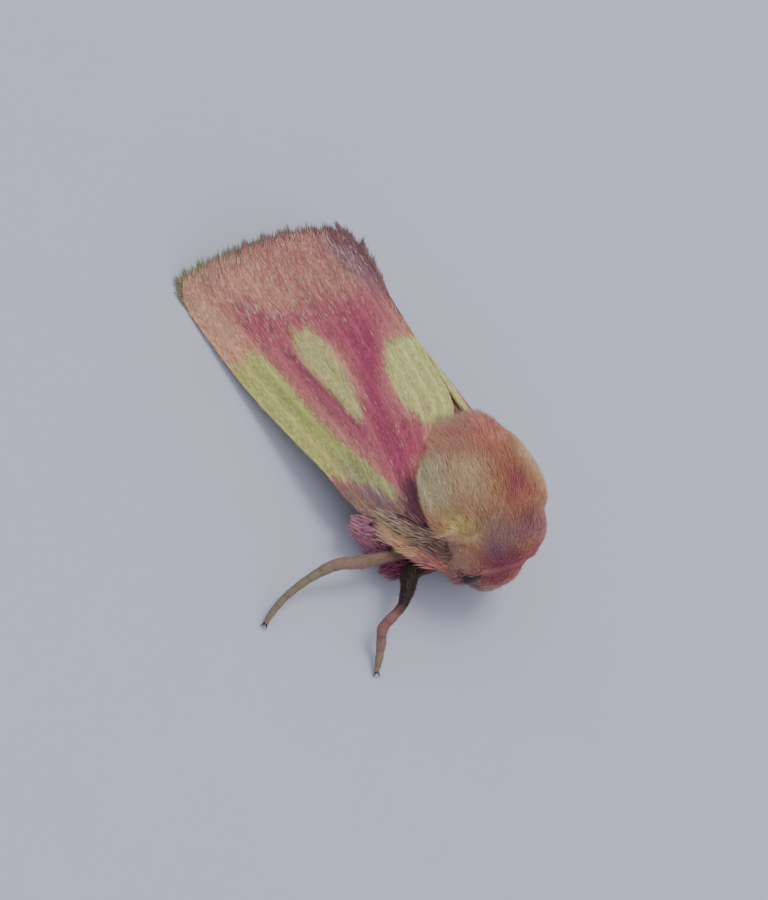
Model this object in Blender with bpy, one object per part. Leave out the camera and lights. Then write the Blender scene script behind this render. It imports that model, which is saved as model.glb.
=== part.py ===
"""A small stout flower moth at rest, its wings folded like a roof over its body.

Each part of the body is one named solid. The moth faces -Y, +X is its left side and it stands on Z = 0.
Sizes are in metres, written as millimetres times MM. Until the last step the middle plane is X = 0.
"""

import math
import random

import bmesh
import bpy
from mathutils import Matrix, Vector

MM = 0.001
GAP = 0.3 * MM  # left between parts that touch
SHEET = 0.5 * MM  # thickness of a wing or a shoulder flap
RIGHT, LEFT = -1, 1
SIDE_NAMES = {RIGHT: "right", LEFT: "left"}

# The roof that the folded wings lie on. "Along" runs back from the middle of the body,
# "across" is measured down the slope from the ridge.
RIDGE_HEIGHT = 4.05 * MM
ROOF_WIDTH = 5.5 * MM
ROOF_FRONT, ROOF_REAR = -3.0 * MM, 3.2 * MM
SLOPES_FRONT = (math.radians(31), math.radians(54))  # at the ridge, at the foot
SLOPES_REAR = (math.radians(46.5), math.radians(42.5))
ROOT_DIP = 0.45 * MM  # how far the roof sinks under the shoulder flaps
DIP_START, DIP_END = -4.8 * MM, -1.4 * MM
LEFT_TUCK = 0.22 * MM  # how far the left wings' rear sinks below the right wings'
TUCK_START, TUCK_END = -0.5 * MM, 3.5 * MM

# Outlines on the roof, as (along, across) in millimetres. Each edge of the forewing runs from the
# root to the fringe, the root and the end run from the front edge to the inner edge.
FOREWING = {
    "root": ((-4.05, 3.65), (-4.1, 2.7), (-3.9, 1.75)),
    "front": ((-4.05, 3.65), (-3.3, 4.2), (-2.3, 4.42), (-1.1, 4.57), (0.6, 4.98), (2.5, 5.37),
              (4.0, 5.55), (5.0, 5.65), (5.9, 5.65), (6.4, 5.4)),
    "end": ((6.4, 5.4), (6.4, 4.5), (6.25, 3.6), (6.1, 2.8), (5.8, 1.8), (5.35, 0.9), (4.85, 0.35),
            (4.1, 0.1)),
    "inner": ((-3.9, 1.75), (-3.0, 1.15), (-2.1, 0.6), (-1.3, 0.24), (0.0, 0.18), (2.0, 0.18), (3.2, 0.16),
              (4.1, 0.1)),
}
HINDWING = {
    "root": ((-2.7, 4.3), (-2.5, 3.45)),
    "front": ((-2.7, 4.3), (-2.1, 4.85), (-1.2, 5.15), (0.5, 5.35), (2.5, 5.2), (4.7, 4.8)),
    "end": ((4.7, 4.8), (4.85, 4.2), (4.7, 3.5), (4.2, 2.95)),
    "inner": ((-2.5, 3.45), (-1.5, 3.5), (0.4, 3.3), (2.0, 3.0), (4.2, 2.95)),
}
FLAP = {
    "root": ((-4.8, 2.75), (-4.95, 2.1), (-4.85, 1.45)),
    "front": ((-4.8, 2.75), (-4.4, 2.85), (-3.9, 2.75), (-3.35, 2.5)),
    "end": ((-3.35, 2.5), (-3.15, 2.2), (-3.3, 1.85)),
    "inner": ((-4.85, 1.45), (-4.3, 1.3), (-3.8, 1.45), (-3.3, 1.85)),
}
RIDGE_CLEARANCE = 0.02  # least distance across from the ridge, in millimetres
FRINGE = 0.42 * MM
FRINGE_NOTCH = 0.45  # share of the fringe between two teeth
TOOTH_THICKNESS = 0.16 * MM
# Teeth point away from a place inside the sheet: its pull to the middle ray, its share from root to end.
WING_TEETH, FLAP_TEETH = (0.0, 0.97), (0.6, 0.75)
VEIN_RISE = 0.065 * MM
VEIN_FIRST_RING = 2
FOREWING_RAYS, FOREWING_RINGS, FOREWING_VEIN_STEP = 36, 12, 3
HINDWING_RAYS, HINDWING_RINGS, HINDWING_VEIN_STEP = 10, 10, 2
HINDWING_FRINGE = 0.3 * MM
FLAP_RAYS, FLAP_RINGS, FLAP_RIDGE_STEP = 12, 6, 2
FLAP_FRINGE = 0.35 * MM
FLAP_RISE = 0.07 * MM
FLAP_LIFT = 0.1 * MM  # more room over the wing at the flap's tip

# Rounded bodies: centre, then how far each reaches along, to the side, up and down, then how blunt it is.
THORAX = ((0, -3.85, 2.95), 2.05, 1.85, 1.5, 1.7, 2.4)
HEAD = ((0, -5.4, 2.2), 0.9, 1.15, 1.0, 0.9, 2.2)
EYE = ((0.98, -5.7, 1.98), 0.5, 0.42, 0.55, 0.55, 2.0)
THORAX_SEGMENTS, THORAX_RINGS = 32, 20
HEAD_SEGMENTS, HEAD_RINGS = 24, 16
EYE_SEGMENTS, EYE_RINGS = 12, 8

# Abdomen, as (along, half width, up, down) around a straight middle line.
ABDOMEN_MIDDLE = 1.7 * MM
ABDOMEN = ((-2.2, 0.72, 0.8, 0.8), (-1.5, 0.95, 0.98, 1.0), (-0.6, 1.02, 1.0, 1.1), (0.4, 1.02, 0.98, 1.1),
           (1.4, 0.92, 0.82, 1.05), (2.4, 0.8, 0.66, 0.95), (3.3, 0.64, 0.52, 0.82), (4.1, 0.42, 0.38, 0.6))
ABDOMEN_SIDES = 20
GROOVE = 0.93  # size of the joint between two rings of the abdomen
GROOVE_WIDTH = 0.12 * MM

# Joints of each leg in millimetres: hip, second joint, knee, ankle, toe.
LEG_RADII = (0.3, 0.3, 0.33, 0.27, 0.3, 0.27, 0.25, 0.25, 0.22)
THIGH_MIDDLE, SHIN_MIDDLE, FOOT_JOINTS = 0.55, 0.5, (0.33, 0.66)  # shares of each part's length
LEG_SIDES, THIN_SIDES, POINT_SIDES = 8, 6, 5
TUBE_END_REACH, TUBE_END_SIZE = 0.6, 0.55  # of a tube's radius, for the shoulder at each end
SPUR_ROOT, SPUR_LENGTH, SPUR_SPREAD, SPUR_RADII = 0.1, 0.55, 0.26, (0.15, 0.05)
CLAW_HEIGHT, CLAW_DROP, CLAW_LENGTH, CLAW_SPREAD, CLAW_RADII = 0.13, 0.05, 0.32, 0.2, (0.12, 0.05)
LEGS = {
    "leg_fore_right": ((-0.5, -4.95, 0.9), (-0.95, -5.2, 0.7), (-2.25, -5.3, 1.1), (-3.95, -6.15, 0.9),
                       (-4.67, -7.3, 0.12)),
    "leg_mid_right": ((-0.6, -4.1, 0.85), (-1.1, -4.45, 0.6), (-2.8, -4.6, 1.0), (-4.9, -4.15, 1.1),
                      (-7.35, -4.8, 0.12)),
    "leg_hind_right": ((-0.5, -3.0, 0.9), (-0.85, -2.5, 0.66), (-1.15, -1.3, 0.6), (-1.2, 1.0, 0.45),
                       (-1.3, 3.2, 0.12)),
    "leg_fore_left": ((0.5, -4.95, 0.9), (0.95, -5.1, 0.7), (1.9, -5.05, 0.85), (2.45, -4.7, 0.6),
                      (2.75, -3.8, 0.12)),
    "leg_mid_left": ((0.6, -4.1, 0.8), (1.1, -3.9, 0.5), (1.85, -3.3, 0.42), (1.95, -2.3, 0.36),
                     (2.05, -1.1, 0.12)),
    "leg_hind_left": ((0.5, -3.0, 0.9), (0.85, -2.5, 0.66), (1.15, -1.3, 0.6), (1.2, 1.0, 0.45),
                      (1.3, 3.1, 0.12)),
}
ANTENNA = ((0.55, -5.72, 3.0), (1.1, -5.5, 2.98), (1.58, -5.2, 2.38), (1.66, -4.7, 1.7), (1.66, -4.1, 1.2),
           (1.6, -3.3, 1.18), (1.48, -2.3, 1.5), (1.45, -1.2, 1.65), (1.42, 0.2, 1.6))
ANTENNA_RADII = (0.25, 0.14)
PALP = ((0.34, -5.45, 1.3), (0.38, -5.78, 1.1), (0.38, -6.1, 1.18), (0.34, -6.25, 1.45))
PALP_RADII = (0.25, 0.26, 0.24, 0.1)


# Locks of hair that lie on the thorax, in rows from the front pole to the rear: the row's angle from that
# pole, the angles around the long axis where 0 is the top, how many there are, and the length.
LOCK_SHAPE = ((0.0, 0.75), (0.35, 1.0), (0.7, 0.8), (1.0, 0.16))  # (share of length, share of width)
LOCK_SINK, LOCK_LIFT = 0.1, 0.05
LOCK_WIDTH, LOCK_THICKNESS, LOCK_SIDES = 0.8, 0.24, 4
LOCK_TILT_VARIES, LOCK_DRIFT_VARIES, LOCK_LENGTH_VARIES = 3, 0.12, 0.1  # degrees, radians, share
THORAX_LOCKS = (
    (35, -100, 100, 7, 1.0),
    (58, -112, 112, 9, 1.0),
    (80, -112, 112, 10, 1.0),
    (101, -80, 80, 8, 1.0),
    (120, -68, 68, 7, 1.0),
    (138, -60, 60, 5, 1.15),
)
STRAIGHT_LOCKS = (  # root, tip and width of each lock on the right flank and at the thorax's rear
    ((-1.2, -5.15, 1.7), (-2.1, -5.6, 1.35), 0.6),
    ((-1.2, -4.85, 1.85), (-2.45, -5.1, 1.5), 0.6),
    ((-1.2, -4.5, 1.85), (-2.6, -4.7, 1.55), 0.6),
    ((-0.45, -2.3, 3.75), (-0.75, -1.45, 3.72), 0.6),
    ((-0.1, -2.4, 4.0), (-0.2, -1.25, 4.05), 0.6),
)
MID_LEG_LOCKS = (  # the tuft behind the right middle leg
    ((-2.0, -4.5, 0.72), (-3.1, -3.75, 0.58), 0.5),
    ((-1.75, -4.45, 0.68), (-3.0, -3.35, 0.5), 0.55),
    ((-1.5, -4.4, 0.6), (-2.75, -3.1, 0.42), 0.55),
    ((-1.75, -4.4, 0.55), (-2.6, -3.6, 0.28), 0.5),
)
HOP = 0.01  # step for slopes on a rounded body, as an angle


def smooth_step(start, end, value):
    share = min(1.0, max(0.0, (value - start) / (end - start)))
    return share * share * (3 - 2 * share)


def mix(a, b, share):
    return a + (b - a) * share


def roof_point(side, along, across, depth=0.0):
    """The point of the roof at (along, across), sunk by depth towards the body."""
    share = smooth_step(ROOF_FRONT, ROOF_REAR, along)
    ridge = mix(SLOPES_FRONT[0], SLOPES_REAR[0], share)
    foot = mix(SLOPES_FRONT[1], SLOPES_REAR[1], share)
    slope = mix(ridge, foot, across / ROOF_WIDTH)
    half_turn = (slope - ridge) / 2
    chord = across * (math.sin(half_turn) / half_turn if half_turn else 1.0)
    sink = depth + ROOT_DIP * (1 - smooth_step(DIP_START, DIP_END, along))
    if side == LEFT:
        sink += LEFT_TUCK * smooth_step(TUCK_START, TUCK_END, along)
    inward = min(1.0, max(0.0, across / ROOF_WIDTH))
    x = chord * math.cos(ridge + half_turn) - inward * sink / math.sin(slope)
    z = RIDGE_HEIGHT - chord * math.sin(ridge + half_turn) - (1 - inward) * sink / math.cos(slope)
    return Vector((side * x, along, z))


def path_point(path, share):
    """A point at a share of a smooth path's length."""
    points = [Vector(point) for point in path]
    if len(points) == 2:
        return points[0].lerp(points[1], share)
    lengths = [(b - a).length for a, b in zip(points, points[1:])]
    place = share * sum(lengths)
    index = 0
    while index < len(lengths) - 1 and place > lengths[index]:
        place -= lengths[index]
        index += 1
    t = place / lengths[index]
    before = points[max(0, index - 1)]
    start, end = points[index], points[index + 1]
    after = points[min(len(points) - 1, index + 2)]
    leave, arrive = (end - before) / 2, (after - start) / 2
    return (start * (2 * t**3 - 3 * t**2 + 1) + leave * (t**3 - 2 * t**2 + t)
            + end * (3 * t**2 - 2 * t**3) + arrive * (t**3 - t**2))


def outline_point(outline, s, t):
    """A point inside four edges: s runs from the front edge to the inner edge, t from the root to the end."""
    front, inner = path_point(outline["front"], t), path_point(outline["inner"], t)
    root, end = path_point(outline["root"], s), path_point(outline["end"], s)
    corners = (Vector(outline["root"][0]) * (1 - s) * (1 - t) + Vector(outline["root"][-1]) * s * (1 - t)
               + Vector(outline["end"][0]) * (1 - s) * t + Vector(outline["end"][-1]) * s * t)
    return front * (1 - s) + inner * s + root * (1 - t) + end * t - corners


def sheet(side, outline, rays, rings, top, fringe, teeth, vein_step, rise, lift=0.0, grow=0.0):
    """A closed curved sheet on the roof, its end cut into teeth. Grow makes it larger on all sides."""
    mesh = bmesh.new()
    bmesh.ops.create_grid(mesh, x_segments=rays, y_segments=rings, size=0.5)
    along_layer = mesh.verts.layers.float.new("along")
    across_layer = mesh.verts.layers.float.new("across")
    bottom_layer = mesh.verts.layers.float.new("bottom")
    for vert in mesh.verts:
        s, t = vert.co.x + 0.5, vert.co.y + 0.5
        ray, ring = round(s * rays), round(t * rings)
        tooth = ring == rings
        reached = min(1.0, ring / (rings - 1))
        place = outline_point(outline, s, reached)
        if tooth:
            outward = (place - outline_point(outline, mix(s, 0.5, teeth[0]), teeth[1])).normalized()
            place += outward * fringe / MM * (1.0 if ray % 2 else FRINGE_NOTCH)
        if grow:
            reach = Vector((0, 0))
            if ray in (0, rays):
                reach += (place - outline_point(outline, 0.5, reached)).normalized()
            if ring in (0, rings):
                reach += (place - outline_point(outline, s, 0.5)).normalized()
            if reach.length:
                place += reach.normalized() * grow / MM * max(1.0, reach.length)
        along, across = place.x * MM, max(RIDGE_CLEARANCE, place.y) * MM
        height = top - lift * smooth_step(0, 1, t) - grow
        thickness = (TOOTH_THICKNESS if tooth and not grow else SHEET) + 2 * grow
        on_vein = ray % vein_step == 0 and 0 < ray < rays and VEIN_FIRST_RING <= ring < rings
        if on_vein and not grow:
            height -= rise
            thickness += rise
        vert[along_layer], vert[across_layer], vert[bottom_layer] = along, across, height + thickness
        vert.co = roof_point(side, along, across, height)
    bmesh.ops.triangulate(mesh, faces=mesh.faces[:])
    top_side = mesh.faces[:] + mesh.edges[:] + mesh.verts[:]
    grown = bmesh.ops.extrude_face_region(mesh, geom=top_side, use_keep_orig=True)
    for vert in grown["geom"]:
        if isinstance(vert, bmesh.types.BMVert):
            vert.co = roof_point(side, vert[along_layer], vert[across_layer], vert[bottom_layer])
    return mesh


def rounded_body(shape, segments, rings, side=1, grow=0.0):
    """A blunt egg whose poles lie front and rear."""
    centre, along, width, up, down, blunt = shape
    mesh = bmesh.new()
    bmesh.ops.create_uvsphere(mesh, u_segments=segments, v_segments=rings, radius=1.0,
                              matrix=Matrix.Rotation(math.radians(90), 4, "X"))
    for vert in mesh.verts:
        way = vert.co.normalized()
        reach = sum(abs(value) ** blunt for value in way) ** (-1 / blunt)
        height = up if way.z > 0 else down
        half = Vector((width * MM + grow, along * MM + grow, height * MM + grow))
        vert.co = Vector((side * centre[0], centre[1], centre[2])) * MM + way * reach * half
    return mesh


def body_point(shape, tilt, turn):
    """A point on a rounded body: tilt is the angle from its front pole, turn goes around its long axis."""
    centre, along, width, up, down, blunt = shape
    way = Vector((math.sin(tilt) * math.sin(turn), -math.cos(tilt), math.sin(tilt) * math.cos(turn)))
    reach = sum(abs(value) ** blunt for value in way) ** (-1 / blunt)
    return (Vector(centre) + way * reach * Vector((width, along, up if way.z > 0 else down))) * MM


def loft(mesh, sides, places):
    """Rings of vertices, each put where its function says for a direction, bridged and capped."""
    rings = []
    for place in places:
        verts = bmesh.ops.create_circle(mesh, segments=sides, radius=1.0)["verts"]
        rings.append(list({edge for vert in verts for edge in vert.link_edges}))
        for vert in verts:
            vert.co = place(vert.co.normalized())
    for near, far in zip(rings, rings[1:]):
        bmesh.ops.bridge_loops(mesh, edges=near + far)
    for ring in (rings[0], rings[-1]):
        bmesh.ops.contextual_create(mesh, geom=ring)


def tube(points, radii, sides, grow=0.0):
    """A tube through the points, with a round shoulder at both ends."""
    points = [Vector(point) * MM for point in points]
    stations = []
    for index, point in enumerate(points):
        before = (point - points[index - 1]).normalized() if index else (points[1] - point).normalized()
        after = (points[index + 1] - point).normalized() if index < len(points) - 1 else before
        radius = radii[index] * MM + grow
        stations.append((point, (before + after).normalized(), radius))
    ends = []
    for (centre, heading, radius), way in ((stations[0], -1), (stations[-1], 1)):
        reach = grow + (radius - grow) * TUBE_END_REACH
        ends.append((centre + heading * way * reach, heading, radius * TUBE_END_SIZE))
    mesh = bmesh.new()
    places = []
    for centre, heading, radius in [ends[0]] + stations + [ends[1]]:
        turn = heading.to_track_quat("Z", "Y")
        places.append(lambda way, centre=centre, turn=turn, radius=radius: centre + turn @ (way * radius))
    loft(mesh, sides, places)
    return mesh


def lock(centres, outwards, width):
    """A flat tapered lock of hair through its centres."""
    places = []
    for index, (centre, outward) in enumerate(zip(centres, outwards)):
        along = centres[min(index + 1, len(centres) - 1)] - centres[max(index - 1, 0)]
        sideways = along.cross(outward).normalized()
        size = LOCK_SHAPE[index][1]
        places.append(lambda way, centre=centre, sideways=sideways, outward=outward, size=size: centre + (
            sideways * way.x * width * size + outward * way.y * LOCK_THICKNESS * math.sqrt(size)) * MM / 2)
    mesh = bmesh.new()
    loft(mesh, LOCK_SIDES, places)
    return mesh


def varied(amount):
    return random.uniform(-amount, amount)


def lying_locks(shape, rows):
    """Overlapping locks that follow a rounded body backwards."""
    locks = []
    for number, (start_tilt, start, end, count, length) in enumerate(rows):
        for index in range(count):
            tilt = math.radians(start_tilt + varied(LOCK_TILT_VARIES))
            turn = math.radians(mix(start, end, (index + 0.5 + 0.5 * (number % 2 - 0.5)) / count))
            drift = varied(LOCK_DRIFT_VARIES)
            step = body_point(shape, tilt + HOP, turn) - body_point(shape, tilt - HOP, turn)
            pace = step.length / (2 * HOP)
            centres, outwards = [], []
            for far, _ in LOCK_SHAPE:
                here = tilt + far * length * (1 + varied(LOCK_LENGTH_VARIES)) * MM / pace
                around = turn + drift * far
                along = body_point(shape, here + HOP, around) - body_point(shape, here - HOP, around)
                aside = body_point(shape, here, around + HOP) - body_point(shape, here, around - HOP)
                outward = aside.cross(along).normalized()
                point = body_point(shape, here, around)
                if outward.dot(point - Vector(shape[0]) * MM) < 0:
                    outward.negate()
                outwards.append(outward)
                centres.append(point + outward * mix(-LOCK_SINK, LOCK_LIFT, far) * MM)
            locks.append(lock(centres, outwards, LOCK_WIDTH))
    return locks


def straight_locks(rows, side):
    """Straight locks as the rows give them for the right side, or mirrored to the left."""
    locks = []
    for root, tip, width in rows:
        root, tip = (Vector((-side * point[0], point[1], point[2])) * MM for point in (root, tip))
        along = tip - root
        outward = (Vector((0, 0, 1)) - along * (along.z / along.length_squared)).normalized()
        locks.append(lock([root + along * far for far, _ in LOCK_SHAPE], [outward] * len(LOCK_SHAPE), width))
    return locks


def spread(radii, count):
    """As many radii as points, evenly from the first to the last."""
    return [mix(radii[0], radii[-1], index / (count - 1)) for index in range(count)]


def mirrored(points, side):
    return [(side * x, y, z) for x, y, z in points]


def leg_path(name):
    """The leg's joints with the middles of its long parts between them."""
    hip, second, knee, ankle, toe = (Vector(point) for point in LEGS[name])
    thigh = (hip, second, second.lerp(knee, THIGH_MIDDLE))
    shin = (knee, knee.lerp(ankle, SHIN_MIDDLE), ankle)
    return thigh + shin + tuple(ankle.lerp(toe, share) for share in FOOT_JOINTS) + (toe,)


def leg(name, grow=0.0):
    mesh = tube(leg_path(name), LEG_RADII, LEG_SIDES, grow)
    if not grow:
        for vert in mesh.verts:
            vert.co.z = max(0.0, vert.co.z)
    return mesh


def leg_points(name):
    """Spurs at the ankle and claws at the toe."""
    ankle, toe = (Vector(point) for point in LEGS[name][-2:])
    shin = (ankle - Vector(LEGS[name][-3])).normalized()
    foot = (toe - ankle).normalized()
    across = foot.cross(Vector((0, 0, 1))).normalized()
    flat = Vector((foot.x, foot.y, 0)).normalized()
    points = []
    for way in (-1, 1):
        if "fore" not in name:
            tip = ankle + (shin + foot).normalized() * SPUR_LENGTH + across * way * SPUR_SPREAD
            points.append(tube((ankle - shin * SPUR_ROOT, tip), SPUR_RADII, POINT_SIDES))
        base = Vector((toe.x, toe.y, CLAW_HEIGHT))
        tip = base + flat * CLAW_LENGTH + across * way * CLAW_SPREAD - Vector((0, 0, CLAW_DROP))
        points.append(tube((base, tip), CLAW_RADII, POINT_SIDES))
    return points


def antenna(side, grow=0.0):
    return tube(mirrored(ANTENNA, side), spread(ANTENNA_RADII, len(ANTENNA)), THIN_SIDES, grow)


def abdomen(grow=0.0):
    places = []
    for index, (along, width, up, down) in enumerate(ABDOMEN):
        steps = ((0.0, 1.0),) if index in (0, len(ABDOMEN) - 1) else (
            (-GROOVE_WIDTH, 1.0), (0.0, GROOVE), (GROOVE_WIDTH, 1.0))
        shift_end = grow * ((index == len(ABDOMEN) - 1) - (index == 0))
        for shift, size in steps:
            def place(way, y=along * MM + shift + shift_end, w=width * size, u=up * size, d=down * size):
                half = (u if way.y > 0 else d) * MM + grow
                return Vector((way.x * (w * MM + grow), y, ABDOMEN_MIDDLE + way.y * half))
            places.append(place)
    mesh = bmesh.new()
    loft(mesh, ABDOMEN_SIDES, places)
    return mesh


def finish(name, mesh, material, parent):
    """Turns a mesh into an object with its faces outward and triangulated."""
    bmesh.ops.triangulate(mesh, faces=mesh.faces[:])
    bmesh.ops.recalc_face_normals(mesh, faces=mesh.faces[:])
    data = bpy.data.meshes.new(name)
    mesh.to_mesh(data)
    mesh.free()
    if material:
        data.materials.append(material)
    item = bpy.data.objects.new(name, data)
    bpy.context.scene.collection.objects.link(item)
    item.parent = parent
    return item


def surface(name, colour, roughness):
    material = bpy.data.materials.new(name)
    material.use_nodes = True
    shader = material.node_tree.nodes["Principled BSDF"]
    shader.inputs["Base Color"].default_value = (*colour, 1)
    shader.inputs["Roughness"].default_value = roughness
    return material


def largest_shell(item):
    """Keeps only the largest closed surface of an object."""
    mesh = bmesh.new()
    mesh.from_mesh(item.data)
    left, shells = set(mesh.faces), []
    while left:
        shell, edge_of_shell = set(), [left.pop()]
        while edge_of_shell:
            face = edge_of_shell.pop()
            shell.add(face)
            for edge in face.edges:
                for near in edge.link_faces:
                    if near in left:
                        left.discard(near)
                        edge_of_shell.append(near)
        shells.append(shell)
    shells.sort(key=lambda faces: sum(face.calc_area() for face in faces))
    small = [face for shell in shells[:-1] for face in shell]
    bmesh.ops.delete(mesh, geom=small, context="FACES")
    mesh.to_mesh(item.data)
    mesh.free()


def combine(item, meshes, operation):
    """Joins meshes to an object or cuts them out of it, then keeps its largest surface."""
    tools = bpy.data.collections.new(item.name + "_tools")
    bpy.context.scene.collection.children.link(tools)
    cutters = []
    for index, mesh in enumerate(meshes):
        cutter = finish(f"{item.name}_tool_{index}", mesh, None, None)
        bpy.context.scene.collection.objects.unlink(cutter)
        tools.objects.link(cutter)
        cutters.append(cutter)
    modifier = item.modifiers.new("combine", "BOOLEAN")
    modifier.operation = operation
    modifier.operand_type = "COLLECTION"
    modifier.collection = tools
    modifier.solver = "EXACT"
    bpy.context.view_layer.update()
    view = bpy.context.evaluated_depsgraph_get()
    result = bpy.data.meshes.new_from_object(item.evaluated_get(view))
    item.modifiers.clear()
    item.data = result
    for cutter in cutters:
        bpy.data.objects.remove(cutter)
    bpy.data.collections.remove(tools)
    largest_shell(item)


def build():
    for item in list(bpy.data.objects):
        bpy.data.objects.remove(item)
    root = bpy.data.objects.new("moth", None)
    bpy.context.scene.collection.objects.link(root)
    fur = surface("fur", (0.62, 0.36, 0.19), 0.9)
    wing = surface("wing", (0.52, 0.22, 0.24), 0.8)
    shell = surface("leg", (0.5, 0.36, 0.2), 0.6)
    glass = surface("eye", (0.03, 0.03, 0.02), 0.25)

    def forewing(side, grow=0.0):
        return sheet(side, FOREWING, FOREWING_RAYS, FOREWING_RINGS, 0.0, FRINGE, WING_TEETH,
                     FOREWING_VEIN_STEP, VEIN_RISE, grow=grow)

    def hindwing(side, grow=0.0):
        return sheet(side, HINDWING, HINDWING_RAYS, HINDWING_RINGS, SHEET + GAP, HINDWING_FRINGE, WING_TEETH,
                     HINDWING_VEIN_STEP, VEIN_RISE / 2, grow=grow)

    def flap(side, grow=0.0):
        return sheet(side, FLAP, FLAP_RAYS, FLAP_RINGS, -SHEET - GAP, FLAP_FRINGE, FLAP_TEETH,
                     FLAP_RIDGE_STEP, FLAP_RISE, lift=FLAP_LIFT, grow=grow)

    def eye(side, grow=0.0):
        return rounded_body(EYE, EYE_SEGMENTS, EYE_RINGS, side, grow)

    def skull(grow=0.0):
        return rounded_body(HEAD, HEAD_SEGMENTS, HEAD_RINGS, grow=grow)

    def palp(side, grow=0.0):
        return tube(mirrored(PALP, side), PALP_RADII, THIN_SIDES, grow)

    sides = (RIGHT, LEFT)
    for side in sides:
        ending = "_" + SIDE_NAMES[side]
        finish("forewing" + ending, forewing(side), wing, root)
        finish("hindwing" + ending, hindwing(side), wing, root)
        finish("tegula" + ending, flap(side), fur, root)
        finish("eye" + ending, eye(side), glass, root)
        finish("antenna" + ending, antenna(side), shell, root)
        finish("palp" + ending, palp(side), fur, root)
    for name in LEGS:
        tuft = straight_locks(MID_LEG_LOCKS, RIGHT) if name == "leg_mid_right" else []
        combine(finish(name, leg(name), shell, root), leg_points(name) + tuft, "UNION")
    finish("abdomen", abdomen(), fur, root)

    head = finish("head", skull(), fur, root)
    beside_head = [maker(side, GAP) for maker in (eye, antenna, palp) for side in sides]
    combine(head, beside_head + [leg(name, GAP) for name in LEGS if "fore" in name], "DIFFERENCE")

    chest = finish("thorax", rounded_body(THORAX, THORAX_SEGMENTS, THORAX_RINGS), fur, root)
    locks = lying_locks(THORAX, THORAX_LOCKS)
    for side in sides:
        locks += straight_locks(STRAIGHT_LOCKS, side)
    combine(chest, locks, "UNION")
    beside_chest = [maker(side, GAP) for maker in (forewing, hindwing, flap, antenna, eye) for side in sides]
    beside_chest += [leg(name, GAP) for name in LEGS]
    combine(chest, beside_chest + [abdomen(GAP), skull(GAP)], "DIFFERENCE")

    bpy.context.view_layer.update()
    corners = [item.matrix_world @ vert.co for item in root.children for vert in item.data.vertices]
    low = Vector([min(corner[axis] for corner in corners) for axis in range(3)])
    high = Vector([max(corner[axis] for corner in corners) for axis in range(3)])
    root.location = Vector((-(low.x + high.x) / 2, -(low.y + high.y) / 2, -low.z))
    bpy.context.view_layer.update()


random.seed(7)
build()
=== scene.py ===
"""Looks of a small pink and yellow flower moth at rest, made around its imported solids.

The file is laid out as an add-on and is run as a script. Shapes are worked out in millimetres around the
moth's own middle plane, faced towards -Y, and each finished mesh is put into the frame in metres.
"""

import math

import bmesh
import bpy
import numpy as np
from bpy.props import FloatProperty, FloatVectorProperty, IntProperty, PointerProperty
from mathutils import Matrix, Vector


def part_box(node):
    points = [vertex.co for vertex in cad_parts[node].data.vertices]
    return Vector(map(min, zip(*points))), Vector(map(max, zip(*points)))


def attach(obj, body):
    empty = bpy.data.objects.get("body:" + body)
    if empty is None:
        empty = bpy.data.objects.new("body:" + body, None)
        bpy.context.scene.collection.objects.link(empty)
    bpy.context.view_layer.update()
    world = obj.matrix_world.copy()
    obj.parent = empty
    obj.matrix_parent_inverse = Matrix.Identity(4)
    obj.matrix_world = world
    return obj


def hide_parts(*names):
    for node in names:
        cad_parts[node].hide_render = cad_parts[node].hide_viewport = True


bl_info = {
    "name": "Resting Flower Moth",
    "version": (1, 0, 0),
    "blender": (4, 5, 0),
    "location": "View3D > Sidebar > Moth",
    "description": "Skin, scales, fur, legs, eyes and stage of a resting flower moth",
    "category": "Add Mesh",
}

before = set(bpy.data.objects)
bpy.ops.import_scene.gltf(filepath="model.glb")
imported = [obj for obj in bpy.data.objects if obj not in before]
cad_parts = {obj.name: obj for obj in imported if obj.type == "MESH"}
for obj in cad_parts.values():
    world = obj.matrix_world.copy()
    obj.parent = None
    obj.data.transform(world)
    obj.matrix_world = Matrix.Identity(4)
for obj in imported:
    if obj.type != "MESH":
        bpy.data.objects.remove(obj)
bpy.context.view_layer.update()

MM = 0.001
RIGHT, LEFT = -1, 1
SIDES = {"right": RIGHT, "left": LEFT}

# The roof that the folded wings lie on, as in the solids.
RIDGE_HEIGHT, ROOF_WIDTH = 4.05, 5.5
ROOF_FRONT, ROOF_REAR = -3.0, 3.2
SLOPES_FRONT = (math.radians(31), math.radians(54))
SLOPES_REAR = (math.radians(46.5), math.radians(42.5))
ROOT_DIP, DIP_START, DIP_END = 0.45, -4.8, -1.4
LEFT_TUCK, TUCK_START, TUCK_END = 0.22, -0.5, 3.5

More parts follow.
